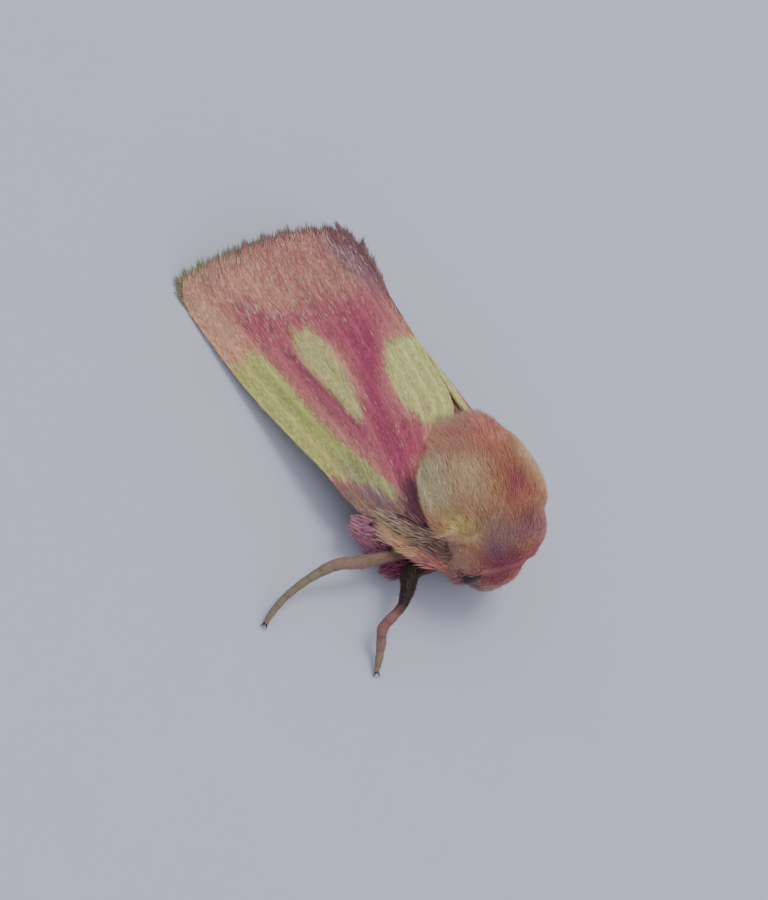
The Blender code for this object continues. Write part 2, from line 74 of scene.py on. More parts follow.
FOREWING = {
    "root": (
        (-4.05, 3.65), (-4.1, 2.7), (-3.9, 1.75)),
    "front": (
        (-4.05, 3.65), (-3.3, 4.2), (-2.3, 4.42), (-1.1, 4.57), (0.6, 4.98), (2.5, 5.37), (4.0, 5.55),
        (5.0, 5.65), (5.9, 5.65), (6.4, 5.4)),
    "end": (
        (6.4, 5.4), (6.4, 4.5), (6.25, 3.6), (6.1, 2.8), (5.8, 1.8), (5.35, 0.9), (4.85, 0.35), (4.1, 0.1)),
    "inner": (
        (-3.9, 1.75), (-3.0, 1.1), (-2.1, 0.5), (-1.3, 0.14), (-0.4, 0.06), (2.0, 0.08), (3.2, 0.08),
        (4.1, 0.1)),
}
HINDWING = {
    "root": (
        (-2.7, 4.3), (-2.5, 3.45)),
    "front": (
        (-2.7, 4.3), (-2.1, 4.55), (-1.2, 4.8), (-0.2, 5.1), (0.5, 5.22), (2.5, 5.15), (4.7, 4.8)),
    "end": (
        (4.7, 4.8), (4.85, 4.2), (4.7, 3.5), (4.2, 2.95)),
    "inner": (
        (-2.5, 3.45), (-1.5, 3.5), (0.4, 3.3), (2.0, 3.0), (4.2, 2.95)),
}
FLAP = {
    "root": (
        (-4.8, 2.5), (-4.95, 2.0), (-4.85, 1.45)),
    "front": (
        (-4.8, 2.5), (-4.4, 2.55), (-3.9, 2.5), (-3.2, 2.3)),
    "end": (
        (-3.2, 2.3), (-2.95, 2.05), (-3.15, 1.8)),
    "inner": (
        (-4.85, 1.45), (-4.3, 1.3), (-3.8, 1.45), (-3.15, 1.8)),
}
FLAP_TOP, FLAP_BOTTOM = -0.66, -0.1

THORAX = ((0, -3.85, 2.95), 2.05, 1.85, 1.5, 1.7, 2.4)
HEAD = ((0, -5.4, 2.2), 0.9, 1.15, 1.0, 0.9, 2.2)
EYE = ((0.98, -5.7, 1.98), 0.5, 0.42, 0.55, 0.55, 2.0)
NECK, THORAX_END = -5.1, -1.5  # where the head's fur ends, and where the abdomen's starts
LOWEST = 0.02  # no tuft reaches lower than this
# Where the random numbers of each kind of tuft start, and those of the uneven patterns.
SEEDS = {"scales": 11, "fringes": 31, "fur": 51, "legs": 71, "streams": 91}
WING_STREAKS, UNDERSIDE_WAVES, STREAM_WAVES, BODY_WAVES, FUR_WAVES = 3, 5, 7, 9, 61
BAKE_PATCH = 0.003  # width of one tuft's place on the map that is baked
FOREWING_DEPTH, HINDWING_DEPTH = 0.05, 0.42  # how far under the roof a wing's upper face lies
SKIN_PAINTED_SHADE, BODY_PAINTED_SHADE = 0.85, 0.75  # painted shade: the skin under the scales and fur is painted darker than they are
UNDER_SCALES, HIND_SCALES, HIND_UNDER_SCALES, LEG_SCALES = 2500, 2400, 1800, 1700
LEG_POINTS = 100  # places along a leg's course
SCALE_WIDTH, SCALE_THICKNESS = 0.034, 0.012
FRINGE_WIDTH, FRINGE_THICKNESS = 0.042, 0.016
FUR_WIDTH, STREAM_WIDTH, FUR_THICKNESS = 0.03, 0.032, 0.026
EYE_HOLE, EYE_REACH = (0.1, 0, -0.4), (0.45, 0.5, 0.32)  # where fur leaves the eye free, from its solid
FACET_WIDTH, FACET_DEPTH = 0.03, 0.006
EYE_COLOUR = (0.016, 0.014, 0.012)
EYE_DROP = 0.26  # how far the eye's ball sits lower than its solid, under the brow
# The thorax is slimmer to the rear, beyond this far from the middle, where the wings leave it.
WAIST_START, WAIST_SHARE, WAIST_REACH = 0.9, 0.4, (-3.3, -2.4)
# Soft masses that join the head and thorax: on the middle plane, and one on each side.
SOFT_MIDDLE = (((0.0, -4.95, 2.5), 1.42, 1.3, 1.6, 1.4, 2.6),  # back of the head
               ((0.0, -5.75, 1.75), 0.8, 0.85, 0.95, 0.95, 2.2),  # chin
               ((0.0, -3.0, 3.3), 0.8, 1.2, 1.14, 0.6, 2.4),  # rear of the thorax's top
               ((0.0, -1.6, 3.25), 2.1, 0.8, 0.5, 0.6, 2.0))  # crest between the wings' roots
SOFT_SIDES = (((1.0, -5.6, 2.2), 0.58, 0.46, 0.55, 0.5, 2.0),  # brow over the eye
              ((0.9, -5.3, 1.6), 0.85, 0.6, 0.75, 0.7, 2.0))  # cheek
ABDOMEN_MIDDLE = 1.7
ABDOMEN = ((-2.2, 0.72, 0.8, 0.8), (-1.5, 0.95, 0.98, 1.0), (-0.6, 1.02, 1.0, 1.1), (0.4, 1.02, 0.98, 1.1),
           (1.4, 0.92, 0.82, 1.05), (2.4, 0.8, 0.66, 0.95), (3.3, 0.64, 0.52, 0.82), (4.1, 0.42, 0.38, 0.6))
PALP = ((0.34, -5.45, 1.3), (0.38, -5.78, 1.1), (0.38, -6.1, 1.18), (0.34, -6.25, 1.45))
ANTENNA = ((0.5, -5.6, 2.6), (0.9, -5.3, 2.45), (1.2, -4.95, 1.95), (1.45, -4.65, 1.6), (1.62, -4.1, 1.2),
           (1.6, -3.3, 1.18), (1.48, -2.3, 1.5), (1.45, -1.2, 1.65), (1.42, 0.2, 1.6))
# Places along each leg: where, how thick, and its colour there. The ankle's place is the fifth.
LEGS = {
    # The right front leg's hip, thigh and shin are painted maroon and bark: its own dark hair, and painted
    # shade where it lies under the body.
    "leg_fore_right": (
        (-0.5, -4.95, 0.9, 0.24, "maroon"), (-1.4, -4.95, 0.9, 0.26, "maroon"),
        (-2.3, -5.05, 1.0, 0.27, "bark"), (-2.95, -5.6, 1.08, 0.2, "bark"),
        (-3.42, -5.97, 1.1, 0.14, "bark"), (-3.75, -6.12, 0.98, 0.15, "clay"),
        (-4.17, -6.31, 0.75, 0.16, "clay"), (-4.3, -6.68, 0.45, 0.14, "fawn"),
        (-4.48, -7.0, 0.28, 0.11, "straw"), (-4.67, -7.3, 0.12, 0.07, "umber")),
    "leg_mid_right": (
        (-0.6, -4.1, 0.85, 0.26, "clay"), (-1.1, -4.4, 0.7, 0.28, "clay"),
        (-2.76, -4.37, 1.0, 0.17, "fawn"), (-3.89, -4.31, 1.08, 0.19, "fawn"),
        (-4.82, -4.16, 1.1, 0.18, "fawn"), (-5.58, -4.18, 0.8, 0.13, "straw"),
        (-6.37, -4.35, 0.48, 0.11, "straw"), (-6.94, -4.59, 0.25, 0.1, "straw"),
        (-7.35, -4.86, 0.12, 0.07, "umber")),
    "leg_hind_right": (
        (-0.5, -3.0, 0.9, 0.26, "fawn"), (-0.85, -2.5, 0.66, 0.28, "fawn"),
        (-1.15, -1.3, 0.6, 0.22, "fawn"), (-1.18, -0.2, 0.52, 0.19, "fawn"),
        (-1.2, 1.0, 0.45, 0.18, "fawn"), (-1.23, 1.7, 0.34, 0.13, "fawn"),
        (-1.27, 2.5, 0.22, 0.11, "umber"), (-1.3, 3.2, 0.12, 0.07, "umber")),
    # The left front leg is painted dark like the right, with the same painted shade.
    "leg_fore_left": (
        (0.5, -4.95, 0.9, 0.24, "maroon"), (0.95, -5.1, 0.7, 0.26, "bark"),
        (1.5, -5.08, 0.8, 0.22, "bark"), (1.9, -5.05, 0.85, 0.15, "bark"),
        (2.45, -4.7, 0.6, 0.16, "clay"), (2.6, -4.4, 0.42, 0.13, "fawn"), (2.7, -4.1, 0.25, 0.11, "fawn"),
        (2.75, -3.8, 0.12, 0.07, "umber")),
    "leg_mid_left": (
        (0.6, -4.1, 0.8, 0.26, "clay"), (1.1, -3.9, 0.5, 0.26, "clay"), (1.5, -3.6, 0.45, 0.2, "fawn"),
        (1.85, -3.3, 0.42, 0.19, "clay"), (1.95, -2.3, 0.36, 0.18, "fawn"),
        (1.98, -1.9, 0.28, 0.13, "fawn"), (2.02, -1.5, 0.2, 0.11, "straw"),
        (2.05, -1.1, 0.12, 0.07, "umber")),
    "leg_hind_left": (
        (0.5, -3.0, 0.9, 0.26, "fawn"), (0.85, -2.5, 0.66, 0.28, "fawn"), (1.15, -1.3, 0.6, 0.22, "fawn"),
        (1.18, -0.2, 0.52, 0.19, "fawn"), (1.2, 1.0, 0.45, 0.18, "fawn"), (1.23, 1.7, 0.34, 0.13, "fawn"),
        (1.27, 2.4, 0.22, 0.11, "umber"), (1.3, 3.1, 0.12, 0.07, "umber")),
}
ANKLE = 4
FRONT_POLE = (0.0, -6.5, 1.5)  # hair on head and body lies away from this place


def moth_middle():
    """The solids' offset from the moth's middle plane, read from where its two eyes are, in millimetres."""
    middles = [sum(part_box("eye_" + side), Vector()) / 2 / MM for side in SIDES]
    return np.array([(middles[0].x + middles[1].x) / 2, middles[0].y - EYE[0][1], 0.0])


MIDDLE = moth_middle()


def linear(red, green, blue):
    """A colour as a screen shows it, from 0 to 255, as light."""
    return tuple(((value / 255 + 0.055) / 1.055) ** 2.4 for value in (red, green, blue))


def tone(name, note, red, green, blue):
    return FloatVectorProperty(name=name, description=note, subtype="COLOR", size=3, min=0, max=1,
                               default=linear(red, green, blue))


def length(name, note, value):
    """A size in millimetres."""
    return FloatProperty(name=name, description=note + ", in millimetres", default=value, min=0)


def number(name, note, value):
    return IntProperty(name=name, description=note, default=value, min=0)


def stage_size(name, note, unit_kind, value):
    """A size in metres or a power in watts."""
    return FloatProperty(name=name, description=note, unit=unit_kind, default=value)


class MothColours(bpy.types.PropertyGroup):
    rose: tone("Rose", "Outer third of the forewing", 216, 134, 126)
    magenta: tone("Magenta", "Band between the yellow patches", 192, 76, 110)
    deep_magenta: tone("Deep magenta", "Darkest streak beside the inner patch", 172, 62, 104)
    olive_yellow: tone("Olive yellow", "Stripe along the front edge", 214, 214, 124)
    pale_yellow: tone("Pale yellow", "Centre wedge and inner patch", 226, 226, 144)
    peach: tone("Peach", "Tip and outer front edge of the forewing", 248, 184, 148)
    mauve: tone("Mauve", "Grey tinge on the wing's corners, the head and the flank", 146, 112, 134)
    umber: tone("Umber", "Fringe and front edge's root", 148, 122, 104)
    # Cream also paints the glints on the forewing's scales, as painted highlight.
    cream: tone("Cream", "Hindwing, glinting scales and pale hair tips", 226, 210, 168)
    leaf: tone("Leaf", "Core of the stripe along the front edge", 150, 166, 78)
    salmon: tone("Salmon", "Rear of the thorax, tinge of the wings' undersides", 220, 146, 134)
    orange_brown: tone("Orange brown", "Back of the thorax", 188, 124, 96)
    tan: tone("Tan", "Shoulder flaps", 222, 210, 170)
    fawn: tone("Fawn", "Upper legs", 150, 119, 104)
    dun: tone("Dun", "Pale streaks in the flank's hair", 218, 180, 160)
    straw: tone("Straw", "Feet", 138, 124, 98)
    gold: tone("Gold", "Patch in front of the shoulder flap", 226, 204, 136)
    crimson: tone("Crimson", "Face, red spot and leg roots", 152, 68, 102)
    # Maroon stands for painted shade under the shoulder flap, at the forewing's root and in the face's
    # crease, and partly on the leg-root tuft and the front legs; on the wing's inner edge and fringe it is
    # the moth's own dark rose.
    maroon: tone("Maroon", "Shaded hair under the shoulder flap", 120, 62, 80)
    clay: tone("Clay", "Shin of the front leg", 144, 98, 94)
    pink: tone("Pink", "Tuft behind the middle leg", 218, 146, 174)
    # Bark is the claws' and the front fringe's own dark colour; on the front legs it is partly, and under
    # the chin wholly, painted shade.
    bark: tone("Bark", "Dark leg parts and claws", 46, 25, 30)


class MothSizes(bpy.types.PropertyGroup):
    coat_depth: length("Coat depth", "How far the skin lies inside the coat", 0.06)
    skin_grain: length("Skin grain", "Voxel size of the joined skin", 0.07)
    wing_thickness: length("Wing thickness", "Thickness of a wing in the render", 0.09)
    wing_scale: length("Wing scale", "Length of a hair-like wing scale", 0.3)
    fringe: length("Fringe", "Length of the fringe at the forewing's end", 0.62)
    fur_length: length("Fur length", "Length of the hair on the thorax", 0.42)
    wing_scales: number("Wing scales", "Scales on one forewing's top", 24000)
    skin_smoothing: number("Skin smoothing", "Passes that soften the skin's creases", 10)
    thorax_hairs: number("Thorax hairs", "Hairs on each half of the thorax", 15000)


class StageSizes(bpy.types.PropertyGroup):
    floor_size: stage_size("Floor size", "Width of the floor", "LENGTH", 0.6)
    camera_distance: stage_size("Camera distance", "From the camera to the moth's middle", "LENGTH", 0.065)
    key_power: stage_size("Key power", "Power of the light overhead", "POWER", 0.07)


# Shapes in millimetres: paths, sheets, eggs and rods.


def smooth_step(start, end, value):
    share = np.clip((value - start) / (end - start), 0.0, 1.0)
    return share * share * (3 - 2 * share)


def unit(vectors):
    return vectors / np.maximum(np.linalg.norm(vectors, axis=-1, keepdims=True), 1e-9)


def roof(side, along, across, depth=0.0):
    """Points of the roof, sunk by depth towards the body."""
    share = smooth_step(ROOF_FRONT, ROOF_REAR, along)
    ridge = SLOPES_FRONT[0] + (SLOPES_REAR[0] - SLOPES_FRONT[0]) * share
    foot = SLOPES_FRONT[1] + (SLOPES_REAR[1] - SLOPES_FRONT[1]) * share
    half_turn = (foot - ridge) * across / ROOF_WIDTH / 2
    chord = across * np.sinc(half_turn / math.pi)
    sink = depth + ROOT_DIP * (1 - smooth_step(DIP_START, DIP_END, along))
    if side == LEFT:
        sink = sink + LEFT_TUCK * smooth_step(TUCK_START, TUCK_END, along)
    inward = np.clip(across / ROOF_WIDTH, 0, 1)
    slope = ridge + 2 * half_turn
    x = chord * np.cos(ridge + half_turn) - inward * sink / np.sin(slope)
    z = RIDGE_HEIGHT - chord * np.sin(ridge + half_turn) - (1 - inward) * sink / np.cos(slope)
    return np.stack([side * x, along + 0 * x, z], axis=-1)


def path_points(path, share):
    """Points at shares of a smooth path's length."""
    points = np.array(path, float)
    share = np.asarray(share, float)
    if len(points) == 2:
        return points[0] + (points[1] - points[0]) * share[..., None]
    lengths = np.linalg.norm(np.diff(points, axis=0), axis=1)
    ends = np.cumsum(lengths)
    index = np.minimum(np.searchsorted(ends, share * ends[-1]), len(lengths) - 1)
    t = ((share * ends[-1] - ends[index] + lengths[index]) / lengths[index])[..., None]
    start, end = points[index], points[index + 1]
    leave = (end - points[np.maximum(index - 1, 0)]) / 2
    arrive = (points[np.minimum(index + 2, len(points) - 1)] - start) / 2
    return (start * (2 * t**3 - 3 * t**2 + 1) + leave * (t**3 - 2 * t**2 + t)
            + end * (3 * t**2 - 2 * t**3) + arrive * (t**3 - t**2))


def outline_points(outline, s, t):
    """Places inside four edges: s runs from the front edge to the inner edge, t from the root to the end."""
    inward, outward = s[..., None], t[..., None]
    sides = (path_points(outline["front"], t) * (1 - inward) + path_points(outline["inner"], t) * inward
             + path_points(outline["root"], s) * (1 - outward) + path_points(outline["end"], s) * outward)
    corners = 0
    for key, reach in (("root", 1 - outward), ("end", outward)):
        for place, share in ((0, 1 - inward), (-1, inward)):
            corners = corners + np.array(outline[key][place], float) * share * reach
    return sides - corners


def vein_rise(s, veins, rise, width):
    """Height of the veins on a wing, with a shallow valley between two of them."""
    place = s * veins
    off = place - np.round(place)
    return rise * (np.exp(-(off / width) ** 2) - 0.35 * np.sin(math.pi * np.abs(off)) ** 2)


def sheet(mesh, side, outline, rays, rings, top, bottom, veins=0, rise=0.0, dome=0.0):
    """A closed sheet on the roof. Its vertices keep their place on the wing and which face they are on."""
    for name in ("along", "across", "under"):
        if not mesh.verts.layers.float.get(name):
            mesh.verts.layers.float.new(name)
    layers = [mesh.verts.layers.float.get(name) for name in ("along", "across", "under")]
    made = bmesh.ops.create_grid(mesh, x_segments=rays, y_segments=rings, size=0.5)["verts"]
    flat = np.array([vert.co for vert in made])
    s, t = flat[:, 0] + 0.5, flat[:, 1] + 0.5
    places = outline_points(outline, s, t)
    height = vein_rise(s, veins, rise, 0.12) * smooth_step(0.0, 0.15, t) if veins else 0.0
    rounding = 1 - dome * np.maximum(t**2, (2 * s - 1) ** 4)
    points = roof(side, places[:, 0], places[:, 1], top * rounding - height)
    for vert, place, point in zip(made, places, points):
        vert[layers[0]], vert[layers[1]] = place
        vert.co = point
    faces = list(dict.fromkeys(face for vert in made for face in vert.link_faces))
    edges = list(dict.fromkeys(edge for vert in made for edge in vert.link_edges))
    grown = bmesh.ops.extrude_face_region(mesh, geom=faces + edges + list(made), use_keep_orig=True)["geom"]
    below = [vert for vert in grown if isinstance(vert, bmesh.types.BMVert)]
    places = np.array([(vert[layers[0]], vert[layers[1]]) for vert in below])
    for vert, point in zip(below, roof(side, places[:, 0], places[:, 1], bottom)):
        vert[layers[2]] = 1.0
        vert.co = point


def egg(mesh, shape, segments, rings, side=1, inset=0.0):
    """A blunt egg whose poles lie front and rear."""
    centre, along, width, up, down, blunt = shape
    turn = Matrix.Rotation(math.radians(90), 4, "X")
    made = bmesh.ops.create_uvsphere(mesh, u_segments=segments, v_segments=rings, radius=1.0, matrix=turn)
    for vert in made["verts"]:
        way = vert.co.normalized()
        reach = sum(abs(value) ** blunt for value in way) ** (-1 / blunt)
        half = Vector((width - inset, along - inset, (up if way.z > 0 else down) - inset))
        vert.co = Vector((side * centre[0], centre[1], centre[2])) + way * reach * half


def edge_ring(mesh, sides, radius):
    """A flat ring: its vertices and its edges."""
    verts = bmesh.ops.create_circle(mesh, segments=sides, radius=float(radius))["verts"]
    return verts, list({edge for vert in verts for edge in vert.link_edges})


def close_rings(mesh, rings):
    """Walls from ring to ring, and a cap on each end."""
    for near, far in zip(rings, rings[1:]):
        bmesh.ops.bridge_loops(mesh, edges=near + far)
    for ring in (rings[0], rings[-1]):
        bmesh.ops.contextual_create(mesh, geom=ring)


def rod(mesh, points, radii, sides):
    """A closed rod through points, with its own radius at each."""
    points = [Vector(point) for point in points]
    rings = []
    for index, point in enumerate(points):
        heading = points[min(index + 1, len(points) - 1)] - points[max(index - 1, 0)]
        turn = heading.to_track_quat("Z", "Y")
        verts, edges = edge_ring(mesh, sides, radii[index])
        rings.append(edges)
        for vert in verts:
            vert.co = point + turn @ vert.co
    close_rings(mesh, rings)


def mirrored(points, side):
    return [(side * x, y, z) for x, y, z in points]


def waves(places, size, seed):
    """A smooth irregular pattern between about -1 and 1 with bumps of the given size."""
    rng = np.random.default_rng(seed)
    total = np.zeros(len(places))
    for _ in range(8):
        way = unit(rng.normal(size=places.shape[1]))
        phases = places @ way * (2 * math.pi / size) * rng.uniform(0.6, 1.5)
        total += np.sin(phases + rng.uniform(0, 2 * math.pi))
    return total / 2.6


# Patches on the forewing in the order in which they are laid: colour, softness, strength, outline.
WING_MARKS = (
    ("peach", 0.55, 0.65, (
        (6.0, 4.6), (5.7, 3.4), (4.8, 2.9), (4.0, 3.1), (4.0, 3.6), (5.0, 4.3))),
    ("magenta", 0.4, 0.6, (
        (4.8, 4.7), (4.9, 3.9), (4.0, 3.4), (3.5, 2.7), (3.6, 1.9), (3.1, 1.0), (2.9, 0.3), (2.1, 0.4),
        (1.3, 1.0), (0.5, 1.5), (-0.2, 1.7), (-1.0, 1.6), (-1.8, 1.3), (-2.4, 1.5), (-2.5, 2.2),
        (-2.8, 2.8), (-2.2, 3.0), (-0.9, 3.3), (0.5, 3.6), (1.9, 4.0), (3.0, 4.3), (4.0, 4.6))),
    ("magenta", 0.3, 0.7, (
        (3.0, 1.3), (2.2, 0.9), (1.3, 1.2), (0.4, 1.6), (-0.7, 1.9), (-2.0, 1.9), (-2.9, 2.4),
        (-3.1, 2.9), (-2.2, 2.8), (-1.0, 2.6), (0.2, 2.3), (1.3, 2.1), (2.6, 2.0))),
    ("deep_magenta", 0.2, 0.5, (
        (2.1, 1.5), (1.8, 1.0), (1.1, 1.3), (0.3, 1.8), (-0.7, 2.1), (-1.8, 2.2), (-2.7, 2.3),
        (-3.0, 2.8), (-2.1, 2.7), (-1.0, 2.5), (0.2, 2.2), (1.2, 1.9))),
    ("deep_magenta", 0.2, 0.4, (
        (2.0, 3.6), (1.3, 3.4), (0.5, 3.3), (-0.5, 3.0), (-1.6, 2.9), (-1.3, 3.2), (-0.2, 3.4),
        (0.8, 3.7), (1.6, 3.8))),
    ("magenta", 0.3, 0.5, (
        (4.4, 4.0), (3.9, 3.7), (3.5, 3.9), (3.9, 4.3))),
    ("magenta", 0.25, 0.6, (
        (-1.2, 1.8), (-1.8, 1.3), (-2.3, 1.5), (-2.3, 2.1), (-1.7, 2.1))),
    ("salmon", 0.25, 0.6, (
        (2.0, 2.3), (1.3, 2.1), (0.2, 2.3), (-0.4, 2.6), (0.1, 2.7), (1.2, 2.5))),
    ("mauve", 0.35, 0.7, (
        (5.2, 1.0), (4.6, 0.0), (3.0, -0.1), (2.6, 0.25), (3.6, 0.7), (4.4, 1.0))),
    ("peach", 0.4, 0.9, (
        (6.6, 6.2), (6.4, 5.0), (4.9, 4.8), (3.8, 4.6), (3.2, 4.7), (3.0, 5.2), (3.2, 6.2))),
    ("peach", 0.25, 0.8, (
        (-3.4, 1.2), (-2.6, 1.5), (-1.9, 1.4), (-1.7, 1.0), (-2.1, 0.4), (-3.0, 0.7))),
    ("umber", 0.2, 0.75, (
        (-4.4, 4.6), (-4.0, 2.9), (-3.3, 3.0), (-2.5, 3.75), (-2.1, 4.1), (-1.8, 4.5), (-1.9, 5.0))),
    ("mauve", 0.15, 0.5, (
        (-1.0, 4.1), (-2.1, 3.6), (-3.0, 3.4), (-3.4, 3.4), (-3.0, 3.8), (-2.0, 4.0))),
    # Painted shade: a maroon band on the forewing's root, where the shoulder flap's edge shades it.
    ("maroon", 0.16, 0.95, (
        (-2.7, 2.6), (-2.95, 2.3), (-3.8, 2.3), (-5.2, 2.4), (-5.2, 3.1), (-3.8, 3.1), (-3.3, 3.05))),
    ("olive_yellow", 0.08, 0.95, (
        (3.1, 5.5), (3.2, 4.7), (3.0, 4.4), (2.1, 4.2), (0.9, 4.02), (-0.3, 3.8), (-1.6, 3.4),
        (-2.5, 3.15), (-3.1, 3.0), (-3.2, 3.2), (-2.5, 3.65), (-1.8, 4.15), (-1.4, 4.6), (-0.5, 4.9),
        (1.0, 5.3), (2.2, 5.5))),
    ("mauve", 0.3, 0.4, (
        (-1.2, 4.1), (-1.6, 3.5), (-3.3, 2.9), (-3.3, 3.4), (-2.4, 3.9))),
    ("leaf", 0.18, 0.6, (
        (2.3, 4.6), (1.7, 4.35), (0.8, 4.15), (-0.7, 3.75), (-1.9, 3.45), (-2.4, 3.45), (-1.5, 3.75),
        (-0.2, 4.1), (1.2, 4.5))),
    ("pale_yellow", 0.13, 0.85, (
        (3.1, 3.2), (2.85, 2.7), (2.1, 2.42), (1.1, 2.4), (0.3, 2.5), (-0.6, 2.8), (-0.5, 2.9),
        (0.2, 3.02), (1.1, 3.2), (2.0, 3.38), (2.75, 3.4))),
    ("leaf", 0.1, 0.4, (
        (2.7, 2.95), (1.8, 2.72), (0.8, 2.65), (0.0, 2.75), (0.8, 2.8), (1.8, 2.92))),
    ("salmon", 0.08, 0.6, (
        (3.0, 2.65), (2.1, 2.32), (1.1, 2.32), (0.3, 2.42), (1.1, 2.5), (2.1, 2.52))),
    ("maroon", 0.06, 0.55, (
        (2.7, 3.7), (1.9, 3.42), (1.1, 3.23), (0.2, 3.05), (-0.9, 2.9), (-0.9, 3.0), (0.2, 3.17),
        (1.1, 3.37), (1.9, 3.57), (2.7, 3.82))),
    ("maroon", 0.12, 0.5, (
        (5.0, 0.9), (4.2, 0.3), (3.2, 0.2), (2.2, 0.2), (1.7, 0.1), (2.2, -0.3), (4.2, -0.3), (5.2, 0.4))),
    ("pale_yellow", 0.12, 1.0, (
        (1.15, 0.95), (1.15, 0.5), (0.9, -0.2), (0.2, -0.2), (-0.9, 0.0), (-1.6, 0.2), (-2.2, 0.5),
        (-2.1, 0.9), (-1.7, 1.1), (-1.1, 1.4), (-0.3, 1.45), (0.5, 1.3))),
)
# Patches of colour on head and body: colour, middle, reach and strength. The left side mirrors the right.
BODY_MARKS = (
    ("salmon", (0.0, -2.4, 4.1), (1.6, 1.1, 1.0), 1.0),
    ("tan", (-0.4, -2.0, 3.75), (0.5, 0.5, 0.5), 0.85),
    ("peach", (-1.1, -2.4, 3.4), (0.5, 0.6, 0.6), 0.7),
    ("umber", (0.0, -1.3, 3.7), (0.5, 1.1, 0.5), 0.9),
    ("tan", (-0.35, -2.2, 3.85), (0.25, 0.6, 0.4), 0.7),
    ("rose", (-1.5, -5.1, 1.8), (0.9, 1.0, 0.8), 0.9),
    ("mauve", (-1.3, -5.5, 1.9), (0.8, 0.7, 0.7), 0.4),
    ("tan", (-1.3, -5.4, 2.0), (0.7, 0.7, 0.6), 0.5),
    ("mauve", (-0.9, -6.0, 1.5), (0.6, 0.5, 0.5), 0.4),
    ("umber", (-0.9, -5.5, 3.5), (1.0, 0.5, 0.5), 0.8),
    ("mauve", (-0.8, -5.95, 3.05), (0.8, 0.4, 0.4), 0.95),
    ("mauve", (-0.3, -5.9, 3.7), (0.9, 0.5, 0.4), 0.6),
    ("maroon", (-0.15, -5.75, 3.95), (0.45, 0.4, 0.35), 0.35),
    ("crimson", (-0.5, -6.3, 2.7), (0.9, 0.5, 0.35), 0.9),
    ("crimson", (-0.5, -6.4, 2.0), (0.8, 0.5, 0.5), 0.75),
    # Painted shade: a thin maroon line in the crease between the face and the band over it.
    ("maroon", (-0.4, -6.25, 3.1), (0.5, 0.25, 0.12), 0.8),
    ("crimson", (-0.1, -4.86, 4.4), (0.3, 0.4, 0.4), 0.9),
    ("crimson", (-1.1, -5.75, 1.5), (0.5, 0.5, 0.4), 0.6),
    # Painted shade and painted reflection: the chin is painted darker and bluer with mauve and bark, as fur
    # in shade lit bluish from the floor.
    ("mauve", (-0.4, -6.2, 1.2), (0.9, 0.6, 0.4), 0.9),
    ("bark", (-0.4, -6.2, 0.8), (1.0, 0.8, 0.5), 0.4),
    ("tan", (-1.1, -4.1, 3.9), (0.6, 0.9, 0.6), 0.8),
    ("tan", (-1.85, -3.6, 3.0), (0.65, 1.3, 0.8), 1.0),
    ("cream", (-1.75, -3.2, 3.2), (0.5, 0.7, 0.5), 0.55),
    ("gold", (-1.6, -5.05, 3.0), (0.5, 0.6, 0.5), 0.9),
)


def colour_of(name):
    return np.array(getattr(bpy.context.scene.moth_colours, name))


def soft_inside(places, outline, softness):
    """1 inside an outline, 0 outside, blurred over the softness."""
    corners = np.array(outline)
    x, y = places[:, 0], places[:, 1]
    nearest = np.full(len(places), np.inf)
    inside = np.zeros(len(places), bool)
    for start, end in zip(corners, np.roll(corners, -1, axis=0)):
        edge = end - start
        share = np.clip(((places - start) @ edge) / (edge @ edge), 0, 1)
        nearest = np.minimum(nearest, np.linalg.norm(places - start - share[:, None] * edge, axis=1))
        if start[1] != end[1]:
            crosses = (start[1] > y) != (end[1] > y)
            inside ^= crosses & (x < edge[0] * (y - start[1]) / edge[1] + start[0])
    return smooth_step(-softness, softness, np.where(inside, nearest, -nearest))


def plain(name, count):
    """One colour, once for each of many places."""
    return np.repeat(colour_of(name)[None], count, axis=0)


def laid_over(tones, name, share):
    return tones + (colour_of(name) - tones) * np.clip(share, 0, 1)[:, None]


def forewing_tones(places):
    """Colours on the top of a forewing at (along, across)."""
    along, across = places[:, 0], places[:, 1]
    streaks = waves(places * (0.1, 1.0), 0.065, WING_STREAKS)
    tones = plain("rose", len(places))
    tones = laid_over(tones, "cream", 0.08 + 0.1 * streaks)
    for name, softness, strength, outline in WING_MARKS:
        tones = laid_over(tones, name, soft_inside(places, outline, softness) * strength)
    tones = laid_over(tones, "umber", 0.3 * smooth_step(5.8, 6.6, along + 0.12 * across))
    streaks = streaks * (1 + 0.6 * smooth_step(1.5, 4.5, along))
    return tones * (1 + streaks[:, None] * (0.07, 0.15, 0.13))


def hindwing_tones(places):
    tones = plain("cream", len(places))
    return laid_over(tones, "salmon", 0.3 * smooth_step(3.0, 4.8, places[:, 0]))


def underside_tones(places):
    tones = plain("cream", len(places))
    tones = laid_over(tones, "salmon", 0.35 + 0.2 * waves(places, 1.6, UNDERSIDE_WAVES))
    return laid_over(tones, "magenta", 0.45 * smooth_step(3.0, 6.2, places[:, 0]))


def body_tones(points):
    """Colours on head, thorax and abdomen."""
    near = np.array(points)
    near[:, 0] = -np.abs(near[:, 0])
    tones = plain("orange_brown", len(points))
    tones = laid_over(tones, "tan", 0.75 * (1 - smooth_step(1.0, 1.9, near[:, 2])))
    tones = laid_over(tones, "cream", 0.6 * smooth_step(-2.2, -0.5, near[:, 1]))
    for name, middle, reach, strength in BODY_MARKS:
        far = np.linalg.norm((near - middle) / reach, axis=1)
        tones = laid_over(tones, name, strength * np.exp(-far**2 * 1.2))
    return tones * (1 + 0.07 * waves(points, 0.5, BODY_WAVES))[:, None]


# Materials.


GRAIN_INPUTS = {"Color": "Color", "Vector": "Vector", "Size": "Float", "Amount": "Float",
                "Roughness": "Float"}
GRAIN_OUTPUTS = {"Color": "Color", "Roughness": "Float", "Height": "Float"}


